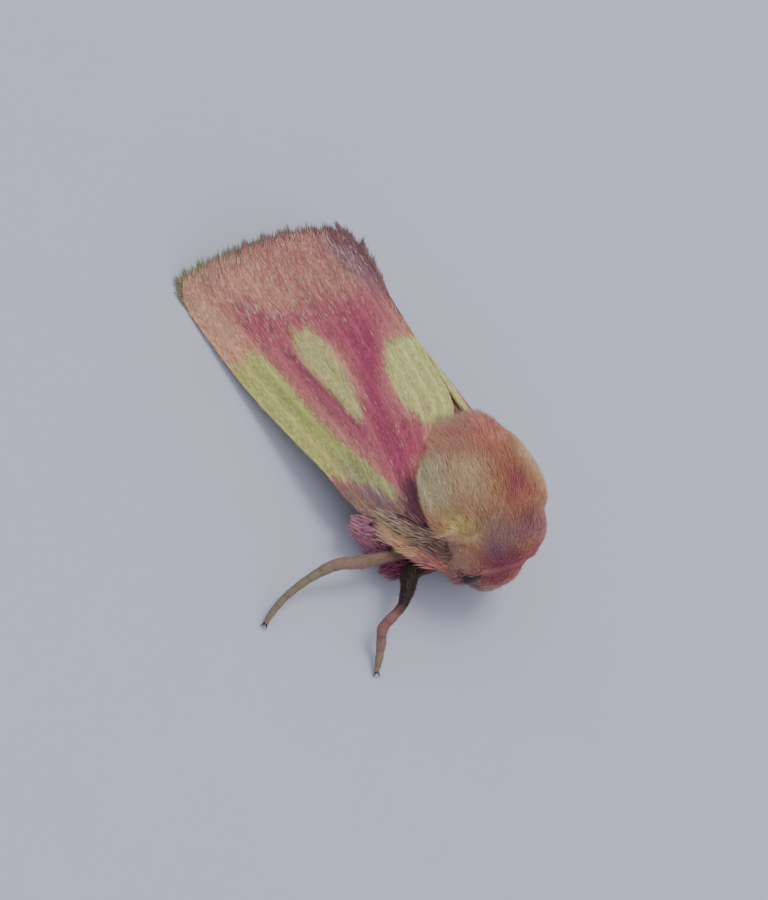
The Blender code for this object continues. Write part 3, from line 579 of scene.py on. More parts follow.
def grain_group():
    """A fine grain that varies a colour, its roughness and its height."""
    if "fine_grain" in bpy.data.node_groups:
        return bpy.data.node_groups["fine_grain"]
    group = bpy.data.node_groups.new("fine_grain", "ShaderNodeTree")
    for way, sockets in (("INPUT", GRAIN_INPUTS), ("OUTPUT", GRAIN_OUTPUTS)):
        for name, kind in sockets.items():
            group.interface.new_socket(name=name, in_out=way, socket_type="NodeSocket" + kind)
    nodes, links = group.nodes, group.links
    given, made = nodes.new("NodeGroupInput").outputs, nodes.new("NodeGroupOutput").inputs

    def worked_out(operation, *values):
        """A step of arithmetic on sockets and numbers."""
        step = nodes.new("ShaderNodeMath")
        step.operation = operation
        for socket, value in zip(step.inputs, values):
            if isinstance(value, float):
                socket.default_value = value
            else:
                links.new(value, socket)
        return step.outputs[0]

    heights = []
    for scale, detail in ((given["Size"], 3), (worked_out("MULTIPLY", given["Size"], 0.14), 2)):
        noise = nodes.new("ShaderNodeTexNoise")
        noise.inputs["Detail"].default_value = detail
        links.new(given["Vector"], noise.inputs["Vector"])
        links.new(scale, noise.inputs["Scale"])
        heights.append(noise.outputs["Fac"])
    centred = worked_out("SUBTRACT", worked_out("ADD", *heights), 1.0)
    change = worked_out("MULTIPLY", centred, given["Amount"])
    shade = nodes.new("ShaderNodeVectorMath")
    shade.operation = "SCALE"
    links.new(given["Color"], shade.inputs[0])
    links.new(worked_out("ADD", change, 1.0), shade.inputs["Scale"])
    links.new(shade.outputs[0], made["Color"])
    rough = worked_out("SUBTRACT", given["Roughness"], worked_out("MULTIPLY", change, 0.3))
    links.new(rough, made["Roughness"])
    links.new(heights[0], made["Height"])
    return group


def set_inputs(node, values):
    for name, value in values.items():
        node.inputs[name].default_value = value


# Materials: roughness, the grain's size in millimetres and how much it varies the colour, the height of its
# relief, sheen, how the grain is stretched, and the strength of highlights.
EVEN = (1, 1, 1)
MATERIALS = {
    "body_skin": (0.85, 0.05, 0.5, 0.03, 0.1, (1, 0.3, 1), 0.3),
    "body_hair": (0.75, 0.06, 0.2, 0.0, 0.15, EVEN, 0.3),
    "tuft_hair": (0.65, 0.06, 0.2, 0.0, 0.15, EVEN, 0.3),
    "wing_skin": (0.7, 0.035, 0.45, 0.02, 0.25, (1, 0.25, 1), 0.3),
    "wing_scales": (0.55, 0.05, 0.25, 0.0, 0.15, (1, 0.3, 1), 0.35),
    "fringe_hair": (0.6, 0.05, 0.2, 0.0, 0.3, EVEN, 0.3),
    "leg_skin": (0.6, 0.06, 0.4, 0.02, 0.05, EVEN, 0.3),
    "leg_scales": (0.6, 0.05, 0.2, 0.0, 0.1, EVEN, 0.3),
    "claws": (0.3, 0.05, 0.2, 0.0, 0.0, EVEN, 0.3),
    "antenna": (0.5, 0.04, 0.3, 0.01, 0.0, EVEN, 0.3),
    "eye_gloss": (0.3, 0.2, 0.5, 0.0, 0.0, EVEN, 0.25),
    "floor": (0.9, 0.4, 0.03, 0.01, 0.0, EVEN, 0.1),
}


def surface(name, colour=None):
    """The named material. Its colour comes from the mesh, or is given."""
    if name in bpy.data.materials:
        return bpy.data.materials[name]
    roughness, grain, amount, bump, sheen, stretch, specular = MATERIALS[name]
    material = bpy.data.materials.new(name)
    material.use_nodes = True
    nodes, links = material.node_tree.nodes, material.node_tree.links
    shader = nodes["Principled BSDF"]
    group = nodes.new("ShaderNodeGroup")
    group.node_tree = grain_group()
    set_inputs(shader, {"Sheen Weight": sheen, "Sheen Roughness": 0.4, "Specular IOR Level": specular})
    set_inputs(group, {"Size": 1 / (grain * MM), "Amount": amount, "Roughness": roughness})
    place, lay = nodes.new("ShaderNodeTexCoord"), nodes.new("ShaderNodeMapping")
    lay.inputs["Scale"].default_value = stretch
    links.new(place.outputs["Object"], lay.inputs["Vector"])
    links.new(lay.outputs["Vector"], group.inputs["Vector"])
    if colour is None:
        paint = nodes.new("ShaderNodeAttribute")
        paint.attribute_name = "tone"
        links.new(paint.outputs["Color"], group.inputs["Color"])
    else:
        group.inputs["Color"].default_value = (*colour, 1)
    links.new(group.outputs["Color"], shader.inputs["Base Color"])
    links.new(group.outputs["Roughness"], shader.inputs["Roughness"])
    if bump:
        relief = nodes.new("ShaderNodeBump")
        set_inputs(relief, {"Strength": 0.6, "Distance": bump * MM})
        links.new(group.outputs["Height"], relief.inputs["Height"])
        links.new(relief.outputs["Normal"], shader.inputs["Normal"])
    return material


# Finished pieces, and tufts joined into them.


def in_frame(points):
    return (np.asarray(points) + MIDDLE) * MM


def out_of_frame(mesh):
    points = np.empty(len(mesh.vertices) * 3)
    mesh.vertices.foreach_get("co", points)
    return points.reshape(-1, 3) / MM - MIDDLE


def linked(name, data):
    """A new object in the scene."""
    made = bpy.data.objects.new(name, data)
    bpy.context.scene.collection.objects.link(made)
    return made


def add_piece(name, data, material, replaced=()):
    """Links a finished mesh as a piece of the moth."""
    data.materials.append(material)
    data.polygons.foreach_set("use_smooth", [True] * len(data.polygons))
    piece = linked(name, data)
    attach(piece, "root")
    if replaced:
        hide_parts(*replaced)
    return piece


def to_mesh(name, mesh):
    """A mesh in the frame from one in millimetres, its faces outward."""
    bmesh.ops.recalc_face_normals(mesh, faces=mesh.faces[:])
    data = bpy.data.meshes.new(name)
    mesh.to_mesh(data)
    mesh.free()
    data.vertices.foreach_set("co", in_frame([vert.co for vert in data.vertices]).ravel())
    data.update()
    return data


def paint(data, tones):
    """Keeps one colour for each vertex."""
    layer = data.attributes.new("tone", "FLOAT_COLOR", "POINT")
    layer.data.foreach_set("color", np.column_stack([np.clip(tones, 0, 1), np.ones(len(tones))]).ravel())


def tuft_shape(cuts):
    """One tapered three-sided tuft: each vertex's share of the length, its ways across and up; the faces."""
    mesh = bmesh.new()
    bmesh.ops.create_cone(mesh, cap_ends=True, segments=3, radius1=1.0, radius2=0.0, depth=1.0)
    bmesh.ops.remove_doubles(mesh, verts=mesh.verts[:], dist=1e-5)
    long_edges = [edge for edge in mesh.edges if abs(edge.verts[0].co.z - edge.verts[1].co.z) > 0.5]
    bmesh.ops.subdivide_edges(mesh, edges=long_edges, cuts=cuts)
    bmesh.ops.triangulate(mesh, faces=mesh.faces[:])
    bmesh.ops.recalc_face_normals(mesh, faces=mesh.faces[:])
    points = np.array([vert.co for vert in mesh.verts])
    faces = np.array([[vert.index for vert in face.verts] for face in mesh.faces])
    mesh.free()
    share = points[:, 2] + 0.5
    ways = points[:, :2] / np.maximum(np.abs(points[:, :2]).max(axis=1, keepdims=True), 1e-6)
    size = np.sqrt(np.clip(1 - share, 0, 1)) * (0.7 + 0.6 * share)
    return share, ways[:, 0] * size, ways[:, 1] * size, faces


def tuft_piece(name, tufts, material, cuts=1, replaced=()):
    """Joins tufts into one mesh. Each has a root, a way along and up, sizes, colours and a place to bake."""
    share, across, up, faces = tuft_shape(cuts)
    count = len(tufts["root"])
    way, rise = unit(tufts["way"]), unit(tufts["up"])
    rise = unit(rise - way * np.sum(way * rise, axis=1, keepdims=True))
    aside = np.cross(way, rise)
    long, wide, thick, lift, sink = (np.broadcast_to(np.asarray(tufts[key], float), count)[:, None, None]
                                     for key in ("length", "width", "thickness", "lift", "sink"))
    bend = np.broadcast_to(np.asarray(tufts.get("bend", 0.0), float), count)[:, None, None]
    s = share[None, :, None]
    height = up[None, :, None] * thick / 2 - sink + lift * long * s - bend * long * s**2
    points = (tufts["root"][:, None] + way[:, None] * long * s
              + aside[:, None] * across[None, :, None] * wide / 2 + rise[:, None] * height)
    sunk = np.maximum(LOWEST - points[..., 2].min(axis=1), 0)  # a tip that would pass the floor bends up
    points[..., 2] += sunk[:, None] * share
    data = bpy.data.meshes.new(name)
    every = (faces[None] + len(share) * np.arange(count)[:, None, None]).reshape(-1, 3)
    data.from_pydata(in_frame(points.reshape(-1, 3)), [], every)
    tips = tufts.get("tip", tufts["tone"])
    shades = tufts["tone"][:, None] * (1 - s) + tips[:, None] * s
    # Painted shade: each tuft is painted darker towards its root, as the coat shades its depth.
    root_shade = tufts.get("root_shade", 0.6)
    paint(data, (shades * (root_shade + (1 - root_shade) * np.minimum(1, 2 * s))).reshape(-1, 3))
    patches = tufts["patch"][:, None] + BAKE_PATCH * np.stack([across / 2, share - 0.5], axis=-1)[None]
    bake = data.uv_layers.new(name="OFBake")
    corners = np.clip(patches.reshape(-1, 2), 0, 1)[every.ravel()]
    bake.data.foreach_set("uv", corners.astype(np.float32).ravel())
    data.update()
    return add_piece(name, data, material, replaced)


def scatter(points, normals, triangles, count, rng, weight=None):
    """Places spread over triangles by area, with their normals."""
    corners = points[triangles]
    area = np.linalg.norm(np.cross(corners[:, 1] - corners[:, 0], corners[:, 2] - corners[:, 0]), axis=1)
    if weight is not None:
        area = area * weight(corners.mean(axis=1))
    chosen = rng.choice(len(triangles), count, p=area / area.sum())
    mixes = rng.random((count, 2))
    over = mixes.sum(axis=1) > 1
    mixes[over] = 1 - mixes[over]
    mixes = np.column_stack([1 - mixes.sum(axis=1), mixes])[..., None]
    return ((corners[chosen] * mixes).sum(axis=1), unit((normals[triangles[chosen]] * mixes).sum(axis=1)))


def skin_arrays(piece):
    """Points in millimetres, normals and triangles of a finished piece."""
    data = piece.data
    points = out_of_frame(data)
    normals = np.empty(len(points) * 3)
    data.vertices.foreach_get("normal", normals)
    data.calc_loop_triangles()
    triangles = np.empty(len(data.loop_triangles) * 3, np.int32)
    data.loop_triangles.foreach_get("vertices", triangles)
    return points, normals.reshape(-1, 3), triangles.reshape(-1, 3)


def body_unwrap(points):
    """Where a place on head or body lies on an unwrap: around the long axis, and from front pole to tail."""
    middle_y, axis_z, rear_length, front_share, rear_share = -4.2, 2.2, 8.6, 0.4, 0.58
    behind = points[:, 1] - middle_y
    around = np.arctan2(points[:, 0], points[:, 2] - axis_z) / (2 * math.pi) + 0.5
    turn = np.arctan2(np.linalg.norm(points[:, [0, 2]] - (0, axis_z), axis=1), -behind)
    down = np.where(points[:, 1] < middle_y, turn / (math.pi / 2) * front_share,
                    front_share + rear_share * behind / rear_length)
    return np.column_stack([0.02 + 0.96 * around, np.clip(0.01 + down, 0, 1)])


def wing_unwrap(places):
    """Where a place on a wing lies on its own flat outline."""
    return np.column_stack([(places[:, 0] + 5.2) / 12.4, (places[:, 1] + 0.3) / 6.6])


def varied(rng, count, amount):
    return 1 + rng.uniform(-amount, amount, count)


# Operators, one for each piece or group of pieces.


def abdomen(mesh, inset):
    """Rings along the abdomen, each narrowed where one of its segments ends."""
    stations = np.linspace(0, 1, 40)
    widths = path_points([(row[0], row[1]) for row in ABDOMEN], stations)
    along = widths[:, 0]
    rows = np.array(ABDOMEN)
    up, down = np.interp(along, rows[:, 0], rows[:, 2]), np.interp(along, rows[:, 0], rows[:, 3])
    ringed = 1 - 0.04 * np.cos((along - rows[1, 0]) / 0.95 * 2 * math.pi).clip(0, 1) ** 6
    rings = []
    for y, width, top, bottom in zip(along, widths[:, 1] * ringed, up * ringed, down * ringed):
        verts, edges = edge_ring(mesh, 32, 1.0)
        rings.append(edges)
        for vert in verts:
            half = (top if vert.co.y > 0 else bottom) - inset / 2
            vert.co = Vector((vert.co.x * (width - inset / 2), y, ABDOMEN_MIDDLE + vert.co.y * half))
    close_rings(mesh, rings)


def skin_of(mesh, grain, smoothing):
    """One skin around overlapping closed shapes, its creases softened."""
    bmesh.ops.recalc_face_normals(mesh, faces=mesh.faces[:])
    data = bpy.data.meshes.new("skin_parts")
    mesh.to_mesh(data)
    mesh.free()
    parts = linked("skin_parts", data)
    remesh = parts.modifiers.new("join", "REMESH")
    remesh.mode = "VOXEL"
    remesh.voxel_size = grain
    bpy.context.view_layer.update()
    joined_data = bpy.data.meshes.new_from_object(parts.evaluated_get(bpy.context.evaluated_depsgraph_get()))
    bpy.data.objects.remove(parts)
    mesh = bmesh.new()
    mesh.from_mesh(joined_data)
    bpy.data.meshes.remove(joined_data)
    for _ in range(smoothing):
        bmesh.ops.smooth_vert(mesh, verts=mesh.verts[:], factor=0.5, use_axis_x=True, use_axis_y=True,
                              use_axis_z=True)
    return mesh


class MOTH_OT_skin(bpy.types.Operator):
    """Head, thorax, shoulder flaps, palps and abdomen as one skin without seams"""

    bl_idname = "moth.skin"
    bl_label = "Skin"

    def execute(self, context):
        sizes = context.scene.moth_sizes
        inset = sizes.coat_depth
        mesh = bmesh.new()
        egg(mesh, THORAX, 48, 32, inset=inset)
        for vert in mesh.verts:
            beyond = max(0.0, abs(vert.co.x) - WAIST_START)
            slimmer = WAIST_SHARE * float(smooth_step(*WAIST_REACH, vert.co.y))
            vert.co.x -= math.copysign(beyond * slimmer, vert.co.x)
        egg(mesh, HEAD, 40, 28, inset=inset)
        for shape in SOFT_MIDDLE:
            egg(mesh, shape, 36, 24)
        for side in SIDES.values():
            for shape in SOFT_SIDES:
                egg(mesh, shape, 32, 20, side)
            sheet(mesh, side, FLAP, 14, 10, FLAP_TOP + inset / 2, FLAP_BOTTOM, dome=0.55)
            rod(mesh, mirrored(PALP, side), (0.13, 0.16, 0.15, 0.06), 10)
        abdomen(mesh, inset)
        data = to_mesh("body_skin", skin_of(mesh, sizes.skin_grain, sizes.skin_smoothing))
        # The body's skin is painted darker, as shade under the fur.
        paint(data, body_tones(out_of_frame(data)) * BODY_PAINTED_SHADE)
        pairs = [f"{part}_{side}" for part in ("tegula", "palp") for side in SIDES]
        add_piece("body_skin", data, surface("body_skin"), ["thorax", "head", "abdomen"] + pairs)
        return {"FINISHED"}


class MOTH_OT_wings(bpy.types.Operator):
    """Forewings and hindwings as thin sheets with their veins raised"""

    bl_idname = "moth.wings"
    bl_label = "Wings"

    def execute(self, context):
        thickness = context.scene.moth_sizes.wing_thickness
        material = surface("wing_skin")
        for side_name, side in SIDES.items():
            for name, outline, rays, rings, top, veins, tones in (
                    ("forewing", FOREWING, 132, 130, FOREWING_DEPTH, 12, forewing_tones),
                    ("hindwing", HINDWING, 50, 90, HINDWING_DEPTH, 5, hindwing_tones)):
                mesh = bmesh.new()
                sheet(mesh, side, outline, rays, rings, top, top + thickness, veins, 0.018)
                data = to_mesh(f"{name}_skin_{side_name}", mesh)
                values = [np.empty(len(data.vertices)) for _ in range(3)]
                for key, value in zip(("along", "across", "under"), values):
                    data.attributes[key].data.foreach_get("value", value)
                places = np.column_stack(values[:2])
                shades = np.where(values[2][:, None] > 0.5, underside_tones(places), tones(places))
                # The wing's skin is painted darker, as shade under its scales.
                paint(data, shades * SKIN_PAINTED_SHADE)
                add_piece(data.name, data, material, [f"{name}_{side_name}"])
        return {"FINISHED"}


def turned(headings, turns):
    """Flat directions turned by angles."""
    x, y = headings[:, 0], headings[:, 1]
    return np.column_stack([x * np.cos(turns) - y * np.sin(turns), x * np.sin(turns) + y * np.cos(turns)])


def roof_way(side, here, heading, depth, step):
    """Which way a flat direction runs on the roof."""
    ahead = here + step * heading
    return roof(side, ahead[:, 0], ahead[:, 1], depth) - roof(side, here[:, 0], here[:, 1], depth)


def joined(groups):
    """Groups of tufts as one, where every value is an array."""
    return {key: np.concatenate([group[key] for group in groups]) for key in groups[0]}


def outline_step(outline, s, t, step_s, step_t):
    """The way between two places inside an outline, a step to each side of (s, t)."""
    ahead = outline_points(outline, np.clip(s + step_s, 0, 1), np.clip(t + step_t, 0, 1))
    behind = outline_points(outline, np.clip(s - step_s, 0, 1), np.clip(t - step_t, 0, 1))
    return ahead - behind


def wing_tufts(side, outline, count, rng, top, tones, size, flip=1):
    """Scales that lie along the rays of a wing, evenly spread over it."""
    many = count * 4
    s, t = rng.random(many), rng.random(many)
    here = outline_points(outline, s, t)
    by_t = outline_step(outline, s, t, 0, 0.01)
    by_s = outline_step(outline, s, t, 0.01, 0)
    area = np.abs(by_t[:, 0] * by_s[:, 1] - by_t[:, 1] * by_s[:, 0])
    kept = np.flatnonzero(rng.random(many) < area / np.quantile(area, 0.995) * 0.9)
    kept = kept[:count]
    here, heading = here[kept], unit(by_t[kept])
    count = len(kept)
    heading = turned(heading, rng.normal(0, 0.13, count))
    root = roof(side, here[:, 0], here[:, 1], top)
    step = 0.05
    along = roof_way(side, here, heading, top, step)
    down = roof(side, here[:, 0], here[:, 1], top + step) - root
    up = np.cross(*(roof_way(side, here, np.array(way), top, step) for way in ((1.0, 0.0), (0.0, 1.0))))
    up = unit(up * -np.sign(np.sum(up * down, axis=1, keepdims=True))) * flip
    seen = here + np.column_stack([rng.normal(0, 0.09, count), rng.normal(0, 0.035, count)])
    shades = tones(seen) * varied(rng, count, 0.13)[:, None]
    return {"root": root, "way": along, "up": up, "length": size * varied(rng, count, 0.35),
            "width": SCALE_WIDTH * varied(rng, count, 0.3), "thickness": SCALE_THICKNESS,
            "lift": 0.04 + 0.08 * rng.random(count) ** 3, "sink": 0.008, "tone": shades,
            "patch": wing_unwrap(here), "place": here}


def picked(tufts, mask):
    return {key: value[mask] if isinstance(value, np.ndarray) and len(value) == len(mask) else value
            for key, value in tufts.items()}


class MOTH_OT_wing_scales(bpy.types.Operator):
    """Hair-like scales on both faces of the wings"""

    bl_idname = "moth.wing_scales"
    bl_label = "Wing scales"

    def execute(self, context):
        sizes = context.scene.moth_sizes
        material = surface("wing_scales")
        for number, (side_name, side) in enumerate(SIDES.items()):
            rng = np.random.default_rng(SEEDS["scales"] + number)
            tufts = wing_tufts(side, FOREWING, sizes.wing_scales, rng, FOREWING_DEPTH, forewing_tones,
                               sizes.wing_scale)
            place = tufts["place"]
            outer = smooth_step(1.8, 4.4, place[:, 0])
            # Painted highlight: a share of the scales, more of them towards the wing's end, is painted cream
            # as glints.
            painted_glint = rng.random(len(place)) < 0.012 + 0.13 * outer
            tufts["tone"][painted_glint] = tufts["tone"][painted_glint] * 0.3 + colour_of("cream") * 0.85
            tufts["tip"] = np.clip(tufts["tone"] * 1.15, 0, 1)
            # How much the scales' roots are darkened, as painted shade.
            tufts["root_shade"] = 0.75
            tufts["lift"] = tufts["lift"] + 0.05 * outer
            rear = place[:, 0] > 1.9
            tuft_piece(f"scales_forewing_{side_name}_front", picked(tufts, ~rear), material)
            tuft_piece(f"scales_forewing_{side_name}_rear", picked(tufts, rear), material)
            below = wing_tufts(side, FOREWING, UNDER_SCALES, rng, FOREWING_DEPTH + sizes.wing_thickness,
                               underside_tones, sizes.wing_scale * 1.3, -1)
            tuft_piece(f"scales_forewing_{side_name}_under", below, material)
            hind = wing_tufts(side, HINDWING, HIND_SCALES, rng, HINDWING_DEPTH, hindwing_tones,
                              sizes.wing_scale)
            under = wing_tufts(side, HINDWING, HIND_UNDER_SCALES, rng, HINDWING_DEPTH + sizes.wing_thickness,
                               underside_tones, sizes.wing_scale, -1)
            for key in ("root", "way", "up", "length", "width", "lift", "tone", "patch", "place"):
                hind[key] = np.concatenate([hind[key], under[key]])
            tuft_piece(f"scales_hindwing_{side_name}", hind, material)
        return {"FINISHED"}


def fringe_tones(outline, kind, here, t, rng):
    """Colours of a fringe's hairs at their roots and at their tips."""
    if outline is HINDWING:
        tones = hindwing_tones(here)
        return tones, tones * 1.1
    if kind == "end":
        apex = smooth_step(3.0, 5.2, here[:, 1])
        tones = laid_over(plain("umber", len(here)), "maroon", 0.6 * (1 - smooth_step(0.4, 2.4, here[:, 1])))
        tones = laid_over(tones, "crimson", 0.3 * (1 - apex))
        tones = laid_over(tones, "leaf", 0.45 * apex) * (1 - 0.3 * apex[:, None])
        return tones, laid_over(tones, "pale_yellow", 0.05 + 0.75 * apex * rng.random(len(here)))
    tones = laid_over(forewing_tones(here), "umber", 0.3 + 0.5 * smooth_step(0.8, 1.0, t))
    if kind == "front":
        tones = laid_over(tones, "bark", 0.4 * smooth_step(0.2, 0.5, t))
        tones = laid_over(tones, "leaf", 0.4 * smooth_step(0.85, 0.95, t)) * 0.9
    else:
        tones = laid_over(tones, "maroon", 0.6 * smooth_step(0.6, 0.8, t))
    return tones, laid_over(tones, "cream", np.full(len(here), 0.25))


def fringe_hairs(side, outline, top, fringe, count, kind, rng):
    """Hairs along one edge of a wing: its end, its inner edge or its front edge."""
    s, t, layer = rng.random(count), rng.random(count), rng.random(count)
    if kind == "end":
        t = 1 - 0.035 * layer**1.5
    elif kind == "inner":
        s, t = 1 - 0.012 * layer, 0.4 + 0.6 * np.sqrt(t)
    else:
        s, t = 0.015 * layer, 1 - t**1.5
    here = outline_points(outline, s, t)
    ray = edge = unit(here - outline_points(outline, s, t - 0.05))
    if kind == "end":
        edge = unit(outline_step(outline, s, t, 0.02, 0))
    outward = np.column_stack([-edge[:, 1], edge[:, 0]])
    spread = {"end": 0.8 * smooth_step(0.6, 1.0, s) + 0.5 * (1 - smooth_step(0.0, 0.25, s)),
              "inner": -0.15 - 0.8 * smooth_step(0.75, 0.95, t),
              "front": 0.2 + 0.9 * smooth_step(0.86, 1.0, t)}[kind]
    tucked = side == LEFT and outline is FOREWING  # under the right wing along the ridge
    if tucked:
        spread = spread * (smooth_step(0.5, 1.5, here[:, 1]) if kind != "inner" else 0.0)
    heading = unit(ray + outward * np.reshape(spread, (-1, 1)))
    heading = turned(heading, rng.normal(0, 0.12, count) + 0.08 * np.sin(s * 70))
    depth = top + 0.06 * rng.random(count)
    root = roof(side, here[:, 0], here[:, 1], depth)
    way = roof_way(side, here, heading, depth, 0.03)
    up = -unit(roof(side, here[:, 0], here[:, 1], depth + 0.05) - root)
    tones, tips = fringe_tones(outline, kind, here, t, rng)
    long = fringe * varied(rng, count, 0.25) * (1 - 0.5 * layer)
    if kind == "front":
        long = long * (1 + 0.8 * smooth_step(0.86, 0.97, t))
    if kind == "inner":
        long = long * (1 + 0.8 * smooth_step(0.75, 0.95, t))
    if tucked:
        long = long * (1 - 0.75 * (1 - smooth_step(0.2, 1.4, here[:, 1])))
    if kind == "end":
        long = long * (0.8 + 0.2 * np.sin(s * 95) * np.sin(s * 37 + 1))
    return {"root": root, "way": way, "up": up, "length": long,
            "width": FRINGE_WIDTH * varied(rng, count, 0.3), "lift": rng.normal(0.02, 0.06, count),
            "tone": tones * varied(rng, count, 0.25)[:, None], "tip": tips, "patch": wing_unwrap(here)}


class MOTH_OT_fringes(bpy.types.Operator):
    """Fringes at the wings' ends and hairs along their edges"""

    bl_idname = "moth.fringes"
    bl_label = "Fringes"

    def execute(self, context):
        sizes = context.scene.moth_sizes
        material = surface("fringe_hair")
        for number, (side_name, side) in enumerate(SIDES.items()):
            rng = np.random.default_rng(SEEDS["fringes"] + number)
            groups = []
            for outline, top, fringe, count, kind in (
                    (FOREWING, 0.05, sizes.fringe, 3000, "end"), (FOREWING, 0.05, 0.24, 800, "inner"),
                    (FOREWING, 0.06, 0.26, 1000, "front"), (HINDWING, 0.45, 0.3, 700, "end"),
                    (HINDWING, 0.45, 0.2, 500, "front")):
                groups.append(fringe_hairs(side, outline, top, fringe, count, kind, rng))
            hairs = joined(groups)
            hairs.update(thickness=FRINGE_THICKNESS, sink=0.0, bend=0.05)
            tuft_piece(f"fringe_{side_name}", hairs, material)
        return {"FINISHED"}


def on_thorax(spots):
    return (spots[:, 1] >= NECK) & (spots[:, 1] < THORAX_END)


def under_wings(spots):
    """Whether the folded wings hide a place on the body, where the fur may be thin."""
    x, y, z = np.abs(spots[:, 0]), spots[:, 1], spots[:, 2]
    covered = (y > -3.2) & (y < 2.0) & (z > 1.2) & (z < RIDGE_HEIGHT - 0.62 * x - 0.5)
    between_wings = x < 0.2 + 0.55 * np.clip(-1.3 - y, 0, None)
    return covered & (~between_wings | (y > 0.5) | (z < 3.0))


def fur_hairs(root, up, fur_length, rng):
    """Hairs that lie away from the face over head and body, and leave the eyes free."""
    count = len(root)
    way = root - np.array(FRONT_POLE) + (0, 0.8, 0)
    way = unit(way - up * np.sum(way * up, axis=1, keepdims=True))
    aside = np.cross(way, up)
    turn = rng.normal(0, 0.2, count) + 0.25 * waves(root, 0.9, FUR_WAVES)
    way = way * np.cos(turn)[:, None] + aside * np.sin(turn)[:, None]
    above = smooth_step(2.2, 3.0, root[:, 2]) * (root[:, 1] < -0.8)
    rear = smooth_step(-3.7, -2.4, root[:, 1]) * above
    fall = -0.28 - 0.1 * np.abs(root[:, 0])
    backward = unit(np.column_stack([0.25 * root[:, 0], np.ones(count), fall]))
    way = unit(way * (1 - 0.85 * rear[:, None]) + backward * 0.85 * rear[:, None])
    beside = root * np.where(root[:, :1] < 0, (-1, 1, 1), (1, 1, 1))
    from_eye = np.linalg.norm((beside - np.array(EYE[0]) - EYE_HOLE) / EYE_REACH, axis=1)
    face = smooth_step(-4.9, -5.9, root[:, 1])
    long = fur_length * (1 - 0.35 * face) * (1 + 0.45 * rear) * varied(rng, count, 0.3)
    long = long * np.where(root[:, 1] > THORAX_END, 0.8, 1.0)
    long = long * (1 - 0.55 * rear * smooth_step(0.6, 1.0, np.abs(root[:, 0])))
    lift = (0.3 + 0.2 * rng.random(count)) * (1 - 0.25 * rear)
    tones = body_tones(root + rng.normal(0, 0.07, (count, 3))) * varied(rng, count, 0.13)[:, None]
    tips = tones * (1.3 + 0.2 * rng.random(count))[:, None]
    hairs = {"root": root, "way": way, "up": up, "length": long,
             "width": FUR_WIDTH * varied(rng, count, 0.3), "thickness": FUR_THICKNESS, "lift": lift,
             "bend": lift * 0.4, "sink": 0.04, "tone": tones, "tip": tips,
             # the fur's roots are darkened as painted shade
             "patch": body_unwrap(root), "root_shade": 0.62}
    return picked(hairs, from_eye > 0.62)


class MOTH_OT_fur(bpy.types.Operator):
    """Short dense fur on head, thorax, shoulder flaps and abdomen"""

    bl_idname = "moth.fur"
    bl_label = "Fur"

    def execute(self, context):
        sizes = context.scene.moth_sizes
        material = surface("body_hair")
        points, normals, triangles = skin_arrays(bpy.data.objects["body_skin"])
        half = sizes.thorax_hairs
        regions = (
            ("fur_head", half * 4 // 5, lambda spots: spots[:, 1] < NECK),
            ("fur_thorax_right", half, lambda spots: on_thorax(spots) & (spots[:, 0] < 0)),
            ("fur_thorax_left", half, lambda spots: on_thorax(spots) & (spots[:, 0] >= 0)),
            ("fur_abdomen", half // 2, lambda spots: spots[:, 1] >= THORAX_END),
        )
        for number, (name, count, inside) in enumerate(regions):
            rng = np.random.default_rng(SEEDS["fur"] + number)

            def weight(spots, inside=inside):
                return inside(spots) * np.where(under_wings(spots), 0.3, 1.0)

            root, up = scatter(points, normals, triangles, count, rng, weight)
            hairs = fur_hairs(root, up, sizes.fur_length, rng)
            tuft_piece(name, hairs, material)
        return {"FINISHED"}


def leg_course(name, count):
    """Points, radii, colours and shares of the length along a leg from hip to toe."""
    rows = LEGS[name]
    places = np.array([row[:3] for row in rows])
    ends = np.concatenate([[0], np.cumsum(np.linalg.norm(np.diff(places, axis=0), axis=1))])
    share = np.linspace(0, 1, count)
    radii = np.interp(share, ends / ends[-1], [row[3] for row in rows])
    tones = np.column_stack([np.interp(share, ends / ends[-1], column)
                             for column in np.array([colour_of(row[4]) for row in rows]).T])
    foot = smooth_step(ends[ANKLE] / ends[-1], ends[ANKLE] / ends[-1] + 0.03, share)
    rings = np.cos((share - share[-1]) * ends[-1] / 0.42 * 2 * math.pi)
    tones = tones * (1 - 0.22 * foot * np.clip(-rings, 0, 1) ** 3)[:, None]
    return path_points(places, share), radii * (1 + 0.05 * foot * rings), tones, ends[ANKLE] / ends[-1]


def claws_and_spurs(claws, leg, course, ankle, spurred):
    """Two small hooks at the toe and, where there are any, two spurs above the ankle."""
    bend = np.linspace(0, 1, 7)[:, None]
    toe = course[-1]
    ahead = unit((toe - course[-8]) * (1, 1, 0))
    aside = np.array([-ahead[1], ahead[0], 0])
    shin = unit(course[ankle] - course[ankle - 4])
    across = unit(np.cross(shin, (0, 0, 1)))
    for way in (-1, 1):
        hook = toe + ahead * 0.15 * bend + aside * way * (0.035 + 0.06 * bend) + (0, 0, 1) * (
            0.05 * np.sin(bend * 2.4) - 0.09 * bend**2)
        hook[:, 2] = np.maximum(hook[:, 2], 0.025)
        rod(claws, hook, np.linspace(0.03, 0.006, 7), 8)
        if spurred:
            spur = course[ankle - 3] + shin * 0.4 * bend + across * way * (0.07 + 0.07 * bend**0.8)
            spur[:, 2] = np.maximum(spur[:, 2], 0.06)
            rod(leg, spur, np.interp(bend[:, 0], (0, 0.3, 1), (0.04, 0.045, 0.008)), 8)


